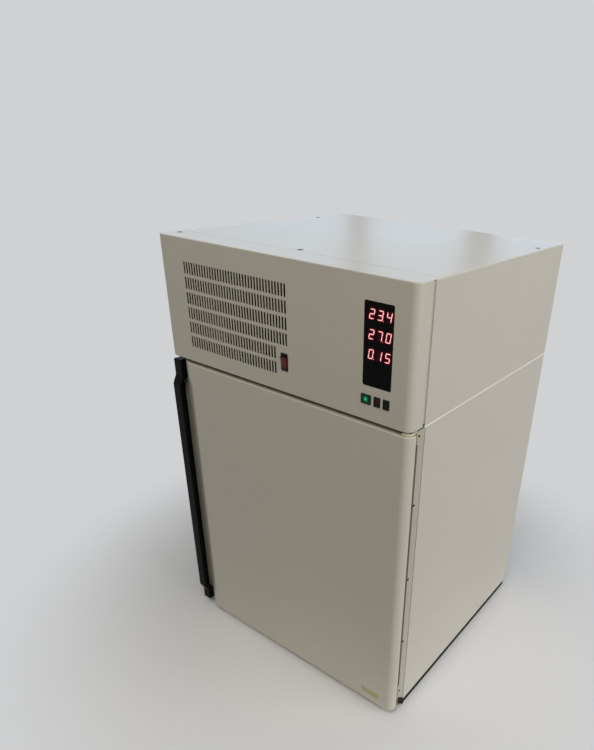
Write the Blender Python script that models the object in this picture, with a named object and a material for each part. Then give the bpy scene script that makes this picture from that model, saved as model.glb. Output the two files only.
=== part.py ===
"""Automated plate incubator, as an assembly of separate pieces.

Units are metres. +Z is up and the door faces -Y. The origin is on the underside of the
base, under the middle of the cabinet.
"""
import math

import bmesh
import bpy
from mathutils import Matrix, Vector

# Overall sizes of the cabinet and the hood on top of it
WIDTH = 0.590
DEPTH = 0.557
SEAM_Z = 0.671                  # height of the cabinet, to the underside of the hood
HOOD_HEIGHT = 0.236
SHEET = 0.0015                  # painted sheet steel
SEAT = 0.0003                   # gap between two faces that touch
OVERSHOOT = 0.002               # how far a cutting shape runs past the face it cuts

# Base
PLINTH_HEIGHT = 0.017
PLINTH_INSET = 0.002
PLINTH_WALL = 0.002

# Cabinet walls and the chamber inside them
SIDE_WALL = 0.045               # outside face to the inside of the chamber
FLOOR_WALL = 0.062
CEILING_WALL = 0.045
BACK_WALL = 0.045
LINER = 0.001
FRAME_DEPTH = 0.019
FRAME_INSET = 0.001
DECK = 0.0027

# Door
DOOR_DEPTH = 0.020
DOOR_BOTTOM = 0.0155
DOOR_TOP_GAP = 0.0085
DOOR_CORNER = 0.015
DOOR_BACK_SKIN = 0.0015
FACE_LEFT = 0.047               # where the flat front ends, from the left side
FLANGE_RUN = 0.018              # width of the rounded step down to the handle flange
FLANGE_LEFT = 0.003
GASKET = 0.007
GASKET_OFFSET = 0.004
GASKET_WIDTH = 0.012
PLUG_DEPTH = 0.040
PLUG_CLEARANCE = 0.004
FOAM_SIDE = 0.020

# Door handle
HANDLE_LEFT = 0.005
HANDLE_WIDTH = 0.025
HANDLE_BOTTOM_GAP = 0.008
HANDLE_TOP_END = 0.035
HANDLE_BOTTOM_END = 0.028
HANDLE_SLOPE = 0.018
HANDLE_PROUD = 0.0085
HANDLE_THICK = 0.0075
HANDLE_SHIFT = 0.003
HANDLE_BEVEL = 0.0015

# Door hinges
HINGE_FROM_SIDE = 0.008
HINGE_FROM_FRONT = 0.013
HINGE_PIN_RADIUS = 0.0025
HINGE_ARM_WIDTH = 0.017
HINGE_ARM_THICK = 0.0044
HINGE_ARM_FRONT = 0.005
HINGE_PLATE_THICK = 0.0025
HINGE_PLATE_WIDTH = 0.023
HINGE_PLATE_HEIGHT = 0.025
HINGE_PLATE_LOW_TOP = 0.075
HINGE_PIN_REACH = 0.010
HINGE_CLEARANCE = 0.0008

# Hood
COVER_DEPTH = 0.036
COVER_CORNER = 0.015
COVER_SHEET = 0.002
COVER_TOP_DEPTH = 0.060
SHELL_GAP = 0.007               # dark gap between the cover and the side of the hood
SHELL_TOP_SEAM = 0.0003
SHELL_BEND = 0.003
HOOD_FRAME_BACK = 0.070
HOOD_FRAME_RAIL = 0.016

# Vent slots in the hood's front
VENT_LEFT = 0.070
VENT_ABOVE_SEAM = 0.1944        # top of the upper row
VENT_PITCH = 0.00705
VENT_SLOT_WIDTH = 0.0034
VENT_SLOT_HEIGHT = 0.0223
VENT_ROW_PITCH = 0.02822
VENT_LONG_ROWS = 4
VENT_LONG_COUNT = 37
VENT_SHORT_ROWS = 2
VENT_SHORT_COUNT = 33

# Display window and push buttons
WINDOW_FROM_RIGHT = 0.0435
WINDOW_WIDTH = 0.053
WINDOW_ABOVE_SEAM = 0.0625
WINDOW_HEIGHT = 0.134
WINDOW_RIM = 0.0025
WINDOW_WALL = 0.0015
DISPLAY_DEPTH = 0.020
BOARD = 0.0016
BOARD_RIM = 0.0045
BUTTON_ABOVE_SEAM = 0.03735     # middle of the buttons
BUTTON_HEIGHT = 0.0166
BUTTON_PROUD = 0.0015
BUTTON_CAP = 0.0045
BUTTON_TRAVEL = 0.002
BUTTON_STEM = 0.006
BUTTON_STEM_LENGTH = 0.009
BUTTON_CLEARANCE = 0.0003
BUTTON_STOP_CLEARANCE = 0.001   # left behind a pressed button
GREEN_BUTTON = (0.090, 0.020)   # centre from the right side, width
RED_BUTTON = (0.0678, 0.0125)
BLACK_BUTTON = (0.0497, 0.0123)

# Rocker switch
ROCKER_X = 0.320                # from the left side
ROCKER_ABOVE_SEAM = 0.0576      # middle of the switch
ROCKER_WIDTH = 0.016
ROCKER_HEIGHT = 0.0322
ROCKER_RIM = 0.0018
ROCKER_FLANGE = 0.0012
ROCKER_BODY_DEPTH = 0.022
ROCKER_PIVOT_DEPTH = 0.0035
ROCKER_THROW = math.radians(14)
ROCKER_CREST = 0.003
ROCKER_END_CLEARANCE = 0.0010

# Things inside the hood
SINK_X = 0.200
SINK_WIDTH = 0.222
SINK_FRONT = 0.072
SINK_DEPTH = 0.048
SINK_BASE = 0.004
SINK_FIN = 0.002
SINK_FINS = 14
SINK_HEIGHT = 0.190
FAN_SIZE = 0.160
FAN_DEPTH = 0.038
FAN_BLADES = 7
SUPPLY_LEFT = 0.060
SUPPLY_SIZE = (0.110, 0.160, 0.050)
SUPPLY_FROM_BACK = 0.020
CONTROL_FROM_RIGHT = 0.040
CONTROL_SIZE = (0.230, 0.180)
CONTROL_FROM_BACK = 0.050
CONTROL_LEG = 0.008
CONTROL_LEG_SIZE = 0.006
INLET_LEFT = 0.060
INLET_SIZE = (0.048, 0.028)
INLET_ABOVE_SEAM = 0.029        # middle of the inlet
INLET_DEPTH = 0.020
INLET_FLANGE = 0.003
INLET_FLANGE_THICK = 0.002
INLET_WALL = 0.003

# Microplates, stackers and carousel
PLATE_LENGTH = 0.12776
PLATE_WIDTH = 0.08548
PLATE_PLAY = 0.0009
STACKER_WALL = 0.0015
STACKER_LEVELS = 11
STACKER_FLOOR = 0.0027
STACKER_FIRST_LEDGE = 0.013     # above the stacker's floor
STACKER_LEDGE = 0.002
STACKER_LEDGE_WIDTH = 0.0125
STACKER_TOP_CLEARANCE = 0.0047  # under the chamber fan
STACKERS = 4
CORE_WALL = 0.002
TURNTABLE_RADIUS = 0.150
TURNTABLE_THICK = 0.006
TURNTABLE_BOTTOM = 0.018        # above the chamber floor
SHAFT_RADIUS = 0.010
SHAFT_LENGTH = 0.040
SHAFT_CLEARANCE = 0.002
MOTOR_SIZE = 0.046
MOTOR_POCKET = 0.002
CAROUSEL_SIDE_CLEARANCE = 0.004
CAROUSEL_FRONT_CLEARANCE = 0.006

# Plate handler: a lift, a turret and a telescopic shovel
RAIL_LENGTH = 0.150
TURRET_RAIL_WIDTH = 0.060
MID_RAIL_WIDTH = 0.048
TAIL_WIDTH = 0.030
RAIL_THICK = 0.0042
SHOVEL_WIDTH = 0.096
SHOVEL_LENGTH = 0.080
SHOVEL_THICK = 0.003
TURRET_RADIUS = 0.038
TURRET_THICK = 0.008
TURRET_SHAFT = 0.008
TURRET_WALL_CLEARANCE = 0.0065
ARM_CLEARANCE = 0.0006          # above the foot of the lift column
ARM_THICK = 0.008
ARM_WIDTH = 0.036
ARM_OVERHANG = 0.018
COLUMN_WALL = 0.0115
COLUMN_WIDTH = 0.074
COLUMN_DEPTH = 0.044
COLUMN_END = 0.0077
COLUMN_TOP_CLEARANCE = 0.0112   # under the chamber's ceiling
COLUMN_TURRET_GAP = 0.006
ROD_RADIUS = 0.004
ROD_SPACING = 0.028
ROD_FROM_WALL = 0.060
SCREW_RADIUS = 0.005
SCREW_FROM_WALL = 0.040
SLIDE_CLEARANCE = 0.0003
CARRIAGE_HEIGHT = 0.036
CARRIAGE_WIDTH = 0.053
CARRIAGE_DEPTH = 0.036
TURRET_MOTOR = (0.035, 0.038, 0.035)
LIFT_MOTOR = (0.036, 0.036)
LIFT_SPARE = 0.0505             # left above the carriage at the top of its travel
GATE_LIFT = 0.003               # how far above the station's ledges a plate is carried in

# Water tray
TRAY_FROM_RIGHT = 0.005
TRAY_FROM_DOOR = 0.006
TRAY_SIZE = (0.145, 0.125, 0.022)
TRAY_WALL = 0.001

# Gate in the back wall and the station outside it
GATE_MARGIN = 0.011
GATE_HEIGHT = 0.060
GATE_BELOW_SHOVEL = 0.020
SLEEVE_WALL = 0.0017
GATE_HOUSING_DEPTH = 0.0177
GATE_HOUSING_SIDE = 0.013
GATE_HOUSING_FOOT = 0.013
GATE_DOOR_THICK = 0.0074
GATE_DOOR_LAP = 0.0067
GATE_TRAVEL = 0.070
GATE_CHANNEL_FRONT = 0.003
GATE_MOTOR = (0.028, 0.024, 0.060)
STATION_WALL = 0.004
STATION_LEDGE_WIDTH = 0.0115
STATION_LENGTH = 0.105
STATION_RIM = 0.014
STATION_DROP = 0.045
STATION_BASE = 0.005

# Chamber fan
CHAMBER_FAN_SIZE = 0.080
CHAMBER_FAN_DEPTH = 0.015
CHAMBER_FAN_BLADES = 5

# Shape of a fan, for both fans
FAN_BORE_WALL = 0.004           # thinnest wall beside the bore
FAN_PLATE_SHARE = 0.12          # of the depth
HUB_SHARE = 0.34                # of the bore
WINDOW_SHARE = 0.98             # of the bore
BLADE_CHORD_SHARE = 0.6         # of the arc between two blades
BLADE_RISE_SHARE = 0.5          # of the depth
BLADE_ROOT_SHARE = 0.8          # of the hub
BLADE_THICK_SHARE = 2 / 3       # of the plate
WINDOW_ANGLES = (10, 80)        # outer arc of a window in the plate, in degrees
HUB_WINDOW_ANGLES = (20, 70)    # its inner arc

# Number of sides on turned shapes
SIDES_LARGE = 64
SIDES_MEDIUM = 32
SIDES_SMALL = 16
CORNER_STEPS = 6

# Places that follow from the sizes above
LEFT = -WIDTH / 2
RIGHT = WIDTH / 2
FRONT = -DEPTH / 2
BACK = DEPTH / 2
HEIGHT = SEAM_Z + HOOD_HEIGHT
DECK_TOP = SEAM_Z - SEAT
DECK_BOTTOM = DECK_TOP - DECK
CABINET_BOTTOM = PLINTH_HEIGHT + SEAT
CABINET_TOP = DECK_BOTTOM - SEAT
DOOR_BACK = FRONT + DOOR_DEPTH
DOOR_TOP = SEAM_Z - DOOR_TOP_GAP
FRAME_FRONT = DOOR_BACK + GASKET
FRAME_BACK = FRAME_FRONT + FRAME_DEPTH
CHAMBER_LEFT = LEFT + SIDE_WALL
CHAMBER_RIGHT = RIGHT - SIDE_WALL
CHAMBER_FRONT = FRAME_BACK + SEAT
CHAMBER_BACK = BACK - BACK_WALL
CHAMBER_FLOOR = FLOOR_WALL
CHAMBER_CEILING = SEAM_Z - CEILING_WALL
PANEL_FRONT = FRAME_BACK + SEAT
PANEL_BACK = BACK - SHEET
FOAM_LEFT = LEFT + SHEET + SEAT
FOAM_RIGHT = RIGHT - SHEET - SEAT
PLUG_BACK = DOOR_BACK + PLUG_DEPTH
HINGE_X = RIGHT - HINGE_FROM_SIDE
HINGE_Y = FRONT + HINGE_FROM_FRONT

STACKER_INNER = PLATE_LENGTH + 2 * PLATE_PLAY
STACKER_OUTER = STACKER_INNER + 2 * STACKER_WALL
STACKER_DEPTH = PLATE_WIDTH + PLATE_PLAY + STACKER_WALL
STACKER_BOTTOM = CHAMBER_FLOOR + TURNTABLE_BOTTOM + TURNTABLE_THICK + SEAT
FIRST_LEDGE_TOP = STACKER_BOTTOM + STACKER_FLOOR + STACKER_FIRST_LEDGE
STACKER_TOP = CHAMBER_CEILING - SEAT - CHAMBER_FAN_DEPTH - STACKER_TOP_CLEARANCE
STACKER_PITCH = (STACKER_TOP + STACKER_LEDGE - FIRST_LEDGE_TOP) / STACKER_LEVELS
CORE_HALF = STACKER_OUTER / 2 + SEAT
STACKER_NEAR = CORE_HALF + SEAT
CAROUSEL_SWEEP = math.hypot(STACKER_NEAR + STACKER_DEPTH, STACKER_OUTER / 2)
CAROUSEL_X = CHAMBER_LEFT + CAROUSEL_SIDE_CLEARANCE + CAROUSEL_SWEEP
CAROUSEL_Y = PLUG_BACK + CAROUSEL_FRONT_CLEARANCE + CAROUSEL_SWEEP

TURRET_SWEEP = math.hypot(RAIL_LENGTH / 2, TURRET_RAIL_WIDTH / 2)
PIVOT_X = CHAMBER_RIGHT - TURRET_WALL_CLEARANCE - TURRET_SWEEP
PIVOT_Y = CHAMBER_BACK - TURRET_WALL_CLEARANCE - TURRET_SWEEP
TOWARDS_CAROUSEL = math.atan2(CAROUSEL_Y - PIVOT_Y, CAROUSEL_X - PIVOT_X)
PIVOT_DISTANCE = math.hypot(CAROUSEL_X - PIVOT_X, CAROUSEL_Y - PIVOT_Y)
PLATE_RADIUS = STACKER_NEAR + STACKER_WALL + (STACKER_DEPTH - STACKER_WALL) / 2
SHOVEL_TRAVEL = PIVOT_DISTANCE - PLATE_RADIUS
COLUMN_BOTTOM = CHAMBER_FLOOR + SEAT
ARM_Z = COLUMN_BOTTOM + COLUMN_END + ARM_CLEARANCE
TURRET_Z = ARM_Z + ARM_THICK + SEAT
TURRET_RAIL_Z = TURRET_Z + TURRET_THICK
MID_Z = TURRET_RAIL_Z + RAIL_THICK + SEAT
SHOVEL_Z = MID_Z + RAIL_THICK + SEAT
SHOVEL_TOP = SHOVEL_Z + SHOVEL_THICK

COLUMN_X = CHAMBER_RIGHT - SEAT
COLUMN_BACK = PIVOT_Y - TURRET_SWEEP - COLUMN_TURRET_GAP
COLUMN_FRONT = COLUMN_BACK - COLUMN_DEPTH
COLUMN_MIDDLE = (COLUMN_BACK + COLUMN_FRONT) / 2
COLUMN_TOP = CHAMBER_CEILING - COLUMN_TOP_CLEARANCE
LIFT_TRAVEL = COLUMN_TOP - COLUMN_END - CARRIAGE_HEIGHT - ARM_Z - LIFT_SPARE

GATE_Z = SHOVEL_TOP + LIFT_TRAVEL - GATE_BELOW_SHOVEL
GATE_HALF = PLATE_LENGTH / 2 + GATE_MARGIN
GATE_HOUSING_FRONT = BACK + SEAT
GATE_HOUSING_BACK = GATE_HOUSING_FRONT + GATE_HOUSING_DEPTH
STATION_LEDGE_Z = SHOVEL_TOP + LIFT_TRAVEL - GATE_LIFT

BUTTON_BLOCK_FRONT = BUTTON_CAP - BUTTON_PROUD + BUTTON_TRAVEL + BUTTON_STOP_CLEARANCE
VENT_TOP = SEAM_Z + VENT_ABOVE_SEAM
WINDOW_BOTTOM = SEAM_Z + WINDOW_ABOVE_SEAM
BUTTON_Z = SEAM_Z + BUTTON_ABOVE_SEAM
ROCKER_Z = SEAM_Z + ROCKER_ABOVE_SEAM
INLET_Z = SEAM_Z + INLET_ABOVE_SEAM


def material(name, colour, roughness, metallic=0.0):
    """Return a Principled material with one colour and finish."""
    made = bpy.data.materials.new(name)
    made.use_nodes = True
    shader = made.node_tree.nodes["Principled BSDF"]
    shader.inputs["Base Color"].default_value = (*colour, 1.0)
    shader.inputs["Roughness"].default_value = roughness
    shader.inputs["Metallic"].default_value = metallic
    made.diffuse_color = (*colour, 1.0)
    return made


def box(low, high):
    """Return a box mesh between two corners."""
    shape = bmesh.new()
    bmesh.ops.create_cube(shape, size=1.0)
    size = Vector(high) - Vector(low)
    middle = (Vector(high) + Vector(low)) / 2
    bmesh.ops.transform(shape, matrix=Matrix.Translation(middle) @ Matrix.Diagonal((*size, 1.0)),
                        verts=shape.verts)
    return shape


def arc(centre, radius, start, end, steps=CORNER_STEPS):
    """Return points on an arc, with its angles in degrees."""
    points = []
    for i in range(steps + 1):
        angle = math.radians(start + (end - start) * i / steps)
        points.append((centre[0] + radius * math.cos(angle), centre[1] + radius * math.sin(angle)))
    return points


def prism(outline, axis, low, high):
    """Return a flat outline extruded along X, Y or Z."""
    place = {"X": lambda a, b, c: (c, a, b),
             "Y": lambda a, b, c: (a, c, b),
             "Z": lambda a, b, c: (a, b, c)}[axis]
    shape = bmesh.new()
    lower = [shape.verts.new(place(a, b, low)) for a, b in outline]
    upper = [shape.verts.new(place(a, b, high)) for a, b in outline]
    shape.faces.new(lower)
    shape.faces.new(upper)
    for i in range(len(outline)):
        j = (i + 1) % len(outline)
        shape.faces.new((lower[i], lower[j], upper[j], upper[i]))
    bmesh.ops.recalc_face_normals(shape, faces=shape.faces)
    return shape


def turned(profile, sides):
    """Return a profile of (radius, z) points turned about Z; its ends lie on the axis."""
    shape = bmesh.new()
    rings = []
    for radius, z in profile:
        if radius == 0:
            rings.append([shape.verts.new((0, 0, z))])
            continue
        ring = []
        for i in range(sides):
            angle = 2 * math.pi * i / sides
            ring.append(shape.verts.new((radius * math.cos(angle), radius * math.sin(angle), z)))
        rings.append(ring)
    for first, second in zip(rings, rings[1:]):
        for i in range(sides):
            j = (i + 1) % sides
            corners = [first[i % len(first)], first[j % len(first)],
                       second[j % len(second)], second[i % len(second)]]
            shape.faces.new(list(dict.fromkeys(corners)))
    bmesh.ops.recalc_face_normals(shape, faces=shape.faces)
    return shape


def rod(radius, low, high, sides=SIDES_SMALL):
    """Return an upright cylinder about the Z axis."""
    return turned([(0, low), (radius, low), (radius, high), (0, high)], sides)


def moved(shape, x=0.0, y=0.0, z=0.0):
    """Move a mesh."""
    bmesh.ops.translate(shape, vec=(x, y, z), verts=shape.verts)
    return shape


def together(shapes):
    """Return one mesh that holds several separate ones."""
    merged = bpy.data.meshes.new("merged")
    result = bmesh.new()
    for shape in shapes:
        shape.to_mesh(merged)
        result.from_mesh(merged)
        shape.free()
    bpy.data.meshes.remove(merged)
    return result


def middle_of(shape):
    """Return the middle of a mesh's box."""
    low = Vector([min(v.co[i] for v in shape.verts) for i in range(3)])
    high = Vector([max(v.co[i] for v in shape.verts) for i in range(3)])
    return (low + high) / 2


def piece(name, shape, finish, origin=None, parent=None, turn=0.0, smooth=False):
    """Make one named sub-part from a mesh in world coordinates, turned about its origin."""
    centre = Vector(origin) if origin is not None else middle_of(shape)
    bmesh.ops.translate(shape, vec=-centre, verts=shape.verts)
    mesh = bpy.data.meshes.new(name)
    shape.to_mesh(mesh)
    shape.free()
    mesh.materials.append(finish)
    if smooth:
        mesh.shade_smooth()
        mesh.set_sharp_from_angle(angle=math.radians(35))
    made = bpy.data.objects.new(name, mesh)
    made.location = centre
    made.rotation_euler.z = turn
    bpy.context.collection.objects.link(made)
    if parent is not None:
        made.parent = parent
        made.location = centre - world_place(parent)
    made["place"] = centre
    return made


def world_place(thing):
    """Return where an object's origin is in the world."""
    return Vector(thing["place"])


def combine(target, shape, operation):
    """Cut a mesh out of a sub-part, or join it on, with a Boolean."""
    bmesh.ops.translate(shape, vec=-world_place(target), verts=shape.verts)
    mesh = bpy.data.meshes.new(target.name + "_tool")
    shape.to_mesh(mesh)
    shape.free()
    tool = bpy.data.objects.new(target.name + "_tool", mesh)
    tool.hide_render = True
    tool.display_type = "WIRE"
    tool.parent = target
    bpy.context.collection.objects.link(tool)
    modifier = target.modifiers.new(operation.lower(), "BOOLEAN")
    modifier.operation = operation
    modifier.object = tool


def cut(target, shape):
    combine(target, shape, "DIFFERENCE")


def join(target, shape):
    combine(target, shape, "UNION")


def joint_axis(name, place, parent=None, travel=None):
    """Make an empty on a joint's axis, which keeps the joint's travel where it slides."""
    empty = bpy.data.objects.new(name, None)
    empty.empty_display_size = 0.02
    empty.location = Vector(place)
    if parent is not None:
        empty.parent = parent
        empty.location = Vector(place) - world_place(parent)
    empty["place"] = Vector(place)
    if travel is not None:
        empty["travel"] = travel
    bpy.context.collection.objects.link(empty)
    return empty


def pan_outline(outer, wall):
    """Return the closed outline of a bent sheet whose outer face follows the points."""
    inner = []
    for i, point in enumerate(outer):
        before = Vector(outer[max(i - 1, 0)])
        after = Vector(outer[min(i + 1, len(outer) - 1)])
        here = Vector(point)
        first = (here - before).normalized() if i > 0 else (after - here).normalized()
        second = (after - here).normalized() if i < len(outer) - 1 else first
        across = (Vector((-first.y, first.x)) + Vector((-second.y, second.x))).normalized()
        reach = wall / across.dot(Vector((-first.y, first.x)))
        inner.append(tuple(here + across * reach))
    return list(outer) + inner[::-1]


def make_base(steel):
    low = (LEFT + PLINTH_INSET, FRAME_FRONT, 0)
    high = (RIGHT - PLINTH_INSET, BACK - PLINTH_INSET, PLINTH_HEIGHT)
    plinth = piece("base_plinth", box(low, high), steel)
    cut(plinth, box((low[0] + PLINTH_WALL, low[1] + PLINTH_WALL, PLINTH_WALL),
                    (high[0] - PLINTH_WALL, high[1] - PLINTH_WALL, PLINTH_HEIGHT + OVERSHOOT)))


def gate_hole(near, far):
    """Return a block as large as the gate's sleeve, between two depths."""
    half = GATE_HALF + SLEEVE_WALL + SEAT
    rim = SLEEVE_WALL + SEAT
    return box((PIVOT_X - half, near, GATE_Z - rim), (PIVOT_X + half, far, GATE_Z + GATE_HEIGHT + rim))


def make_cabinet(paint, foam, stainless, bright):
    for name, near, far in (("side_panel_left", LEFT, LEFT + SHEET),
                            ("side_panel_right", RIGHT - SHEET, RIGHT)):
        piece(name, box((near, PANEL_FRONT, CABINET_BOTTOM), (far, BACK, CABINET_TOP)), paint)

    back = piece("back_panel", box((FOAM_LEFT, PANEL_BACK, CABINET_BOTTOM),
                                   (FOAM_RIGHT, BACK, CABINET_TOP)), paint)
    cut(back, gate_hole(PANEL_BACK - OVERSHOOT, BACK + OVERSHOOT))

    frame = piece("front_frame", box((LEFT + FRAME_INSET, FRAME_FRONT, CABINET_BOTTOM),
                                     (RIGHT - FRAME_INSET, FRAME_BACK, CABINET_TOP)), paint)
    cut(frame, box((CHAMBER_LEFT, FRAME_FRONT - OVERSHOOT, CHAMBER_FLOOR),
                   (CHAMBER_RIGHT, FRAME_BACK + OVERSHOOT, CHAMBER_CEILING)))

    insulation = piece("cabinet_insulation",
                       box((FOAM_LEFT, CHAMBER_FRONT, CABINET_BOTTOM),
                           (FOAM_RIGHT, PANEL_BACK - SEAT, CABINET_TOP)), foam)
    shell = LINER + SEAT
    cut(insulation, box((CHAMBER_LEFT - shell, CHAMBER_FRONT - OVERSHOOT, CHAMBER_FLOOR - shell),
                        (CHAMBER_RIGHT + shell, CHAMBER_BACK + shell, CHAMBER_CEILING + shell)))
    cut(insulation, gate_hole(CHAMBER_BACK - OVERSHOOT, BACK))
    pocket = MOTOR_SIZE / 2 + MOTOR_POCKET
    cut(insulation, box((CAROUSEL_X - pocket, CAROUSEL_Y - pocket, CABINET_BOTTOM - OVERSHOOT),
                        (CAROUSEL_X + pocket, CAROUSEL_Y + pocket, CHAMBER_FLOOR)))
    lift_x = COLUMN_X - SCREW_FROM_WALL
    half_x = LIFT_MOTOR[0] / 2 + MOTOR_POCKET
    half_y = LIFT_MOTOR[1] / 2 + MOTOR_POCKET
    cut(insulation, box((lift_x - half_x, COLUMN_MIDDLE - half_y, CHAMBER_CEILING),
                        (lift_x + half_x, COLUMN_MIDDLE + half_y, CABINET_TOP + OVERSHOOT)))

    chamber = piece("inner_chamber",
                    box((CHAMBER_LEFT - LINER, CHAMBER_FRONT, CHAMBER_FLOOR - LINER),
                        (CHAMBER_RIGHT + LINER, CHAMBER_BACK + LINER, CHAMBER_CEILING + LINER)),
                    stainless)
    cut(chamber, box((CHAMBER_LEFT, CHAMBER_FRONT - OVERSHOOT, CHAMBER_FLOOR),
                     (CHAMBER_RIGHT, CHAMBER_BACK, CHAMBER_CEILING)))
    cut(chamber, gate_hole(CHAMBER_BACK - OVERSHOOT, CHAMBER_BACK + LINER + OVERSHOOT))
    cut(chamber, moved(rod(SHAFT_RADIUS + SHAFT_CLEARANCE, CHAMBER_FLOOR - LINER - OVERSHOOT,
                           CHAMBER_FLOOR + OVERSHOOT), CAROUSEL_X, CAROUSEL_Y))
    cut(chamber, moved(rod(SCREW_RADIUS + SHAFT_CLEARANCE, CHAMBER_CEILING - OVERSHOOT,
                           CHAMBER_CEILING + LINER + OVERSHOOT), lift_x, COLUMN_MIDDLE))

    piece("deck_plate", box((LEFT, FRONT + COVER_DEPTH + SHELL_GAP, DECK_BOTTOM),
                            (RIGHT, BACK, DECK_TOP)), bright)


def make_hood(paint, black):
    left, right = LEFT + COVER_CORNER, RIGHT - COVER_CORNER
    front = [(RIGHT, FRONT + COVER_DEPTH)]
    front += arc((right, FRONT + COVER_CORNER), COVER_CORNER, 0, -90)
    front += arc((left, FRONT + COVER_CORNER), COVER_CORNER, -90, -180)
    front += [(LEFT, FRONT + COVER_DEPTH)]
    cover = piece("hood_front_cover", prism(front, "Z", SEAM_Z, HEIGHT), paint)
    hollow = [(RIGHT - COVER_SHEET, FRONT + COVER_DEPTH + OVERSHOOT)]
    hollow += arc((right, FRONT + COVER_CORNER), COVER_CORNER - COVER_SHEET, 0, -90)
    hollow += arc((left, FRONT + COVER_CORNER), COVER_CORNER - COVER_SHEET, -90, -180)
    hollow += [(LEFT + COVER_SHEET, FRONT + COVER_DEPTH + OVERSHOOT)]
    cut(cover, prism(hollow, "Z", SEAM_Z + COVER_SHEET, HEIGHT - SHEET))
    join(cover, box((LEFT, FRONT + COVER_CORNER, HEIGHT - SHEET),
                    (RIGHT, FRONT + COVER_TOP_DEPTH, HEIGHT)))

    slots = []
    for row in range(VENT_LONG_ROWS + VENT_SHORT_ROWS):
        count = VENT_LONG_COUNT if row < VENT_LONG_ROWS else VENT_SHORT_COUNT
        top = VENT_TOP - row * VENT_ROW_PITCH
        for i in range(count):
            left = LEFT + VENT_LEFT + i * VENT_PITCH
            slots.append(box((left, FRONT - OVERSHOOT, top - VENT_SLOT_HEIGHT),
                             (left + VENT_SLOT_WIDTH, FRONT + COVER_SHEET + OVERSHOOT, top)))
    cut(cover, together(slots))

    holes = [(RIGHT - WINDOW_FROM_RIGHT - WINDOW_WIDTH / 2, WINDOW_BOTTOM + WINDOW_HEIGHT / 2,
              WINDOW_WIDTH, WINDOW_HEIGHT),
             (LEFT + ROCKER_X, ROCKER_Z, ROCKER_WIDTH - 2 * ROCKER_RIM, ROCKER_HEIGHT - 2 * ROCKER_RIM)]
    for from_right, width in (GREEN_BUTTON, RED_BUTTON, BLACK_BUTTON):
        holes.append((RIGHT - from_right, BUTTON_Z, width + 2 * BUTTON_CLEARANCE,
                      BUTTON_HEIGHT + 2 * BUTTON_CLEARANCE))
    cut(cover, together([box((x - w / 2, FRONT - OVERSHOOT, z - h / 2),
                             (x + w / 2, FRONT + COVER_SHEET + OVERSHOOT, z + h / 2))
                         for x, z, w, h in holes]))

    side_front = FRONT + COVER_DEPTH + SHELL_GAP
    outer = [(RIGHT, SEAM_Z)]
    outer += arc((RIGHT - SHELL_BEND, HEIGHT - SHELL_BEND), SHELL_BEND, 0, 90)
    outer += arc((LEFT + SHELL_BEND, HEIGHT - SHELL_BEND), SHELL_BEND, 90, 180)
    outer += [(LEFT, SEAM_Z)]
    shell = piece("hood_shell", prism(pan_outline(outer, SHEET), "Y", side_front, BACK), paint)
    cut(shell, box((LEFT - OVERSHOOT, side_front - OVERSHOOT, HEIGHT - SHELL_BEND),
                   (RIGHT + OVERSHOOT, FRONT + COVER_TOP_DEPTH + SHELL_TOP_SEAM, HEIGHT + OVERSHOOT)))

    frame_low = (LEFT + SHEET + SEAT, FRONT + COVER_DEPTH + SEAT, SEAM_Z)
    frame_high = (RIGHT - SHEET - SEAT, FRONT + HOOD_FRAME_BACK, HEIGHT - SHEET - SEAT)
    frame = piece("hood_front_frame", box(frame_low, frame_high), black)
    cut(frame, box((frame_low[0] + HOOD_FRAME_RAIL, frame_low[1] - OVERSHOOT,
                    frame_low[2] + HOOD_FRAME_RAIL),
                   (frame_high[0] - HOOD_FRAME_RAIL, frame_high[1] + OVERSHOOT,
                    frame_high[2] - HOOD_FRAME_RAIL)))
    bend = SHELL_BEND
    for side, edge in ((1, frame_high[0]), (-1, frame_low[0])):
        corner = [(edge + side * OVERSHOOT, frame_high[2] + OVERSHOOT),
                  (edge - side * bend, frame_high[2] + OVERSHOOT),
                  (edge - side * bend, frame_high[2]), (edge, frame_high[2] - bend),
                  (edge + side * OVERSHOOT, frame_high[2] - bend)]
        cut(frame, prism(corner, "Y", frame_low[1] - OVERSHOOT, frame_high[1] + OVERSHOOT))

    back = piece("hood_back_panel", box((LEFT + SHEET + SEAT, BACK - SHEET, SEAM_Z),
                                        (RIGHT - SHEET - SEAT, BACK,
                                         HEIGHT - SHELL_BEND - SEAT)), paint)
    cut(back, box((LEFT + INLET_LEFT - SEAT, BACK - SHEET - OVERSHOOT,
                   INLET_Z - INLET_SIZE[1] / 2 - SEAT),
                  (LEFT + INLET_LEFT + INLET_SIZE[0] + SEAT, BACK + OVERSHOOT,
                   INLET_Z + INLET_SIZE[1] / 2 + SEAT)))


def make_inlet(black):
    left = LEFT + INLET_LEFT
    right = left + INLET_SIZE[0]
    bottom = INLET_Z - INLET_SIZE[1] / 2
    top = INLET_Z + INLET_SIZE[1] / 2
    inlet = piece("mains_inlet", box((left, BACK - INLET_DEPTH, bottom),
                                     (right, BACK + SEAT + INLET_FLANGE_THICK, top)), black)
    join(inlet, box((left - INLET_FLANGE, BACK + SEAT, bottom - INLET_FLANGE),
                    (right + INLET_FLANGE, BACK + SEAT + INLET_FLANGE_THICK, top + INLET_FLANGE)))
    cut(inlet, box((left + INLET_WALL, BACK - INLET_DEPTH + INLET_WALL, bottom + INLET_WALL),
                   (right - INLET_WALL, BACK + INLET_FLANGE_THICK + OVERSHOOT, top - INLET_WALL)))


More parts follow.
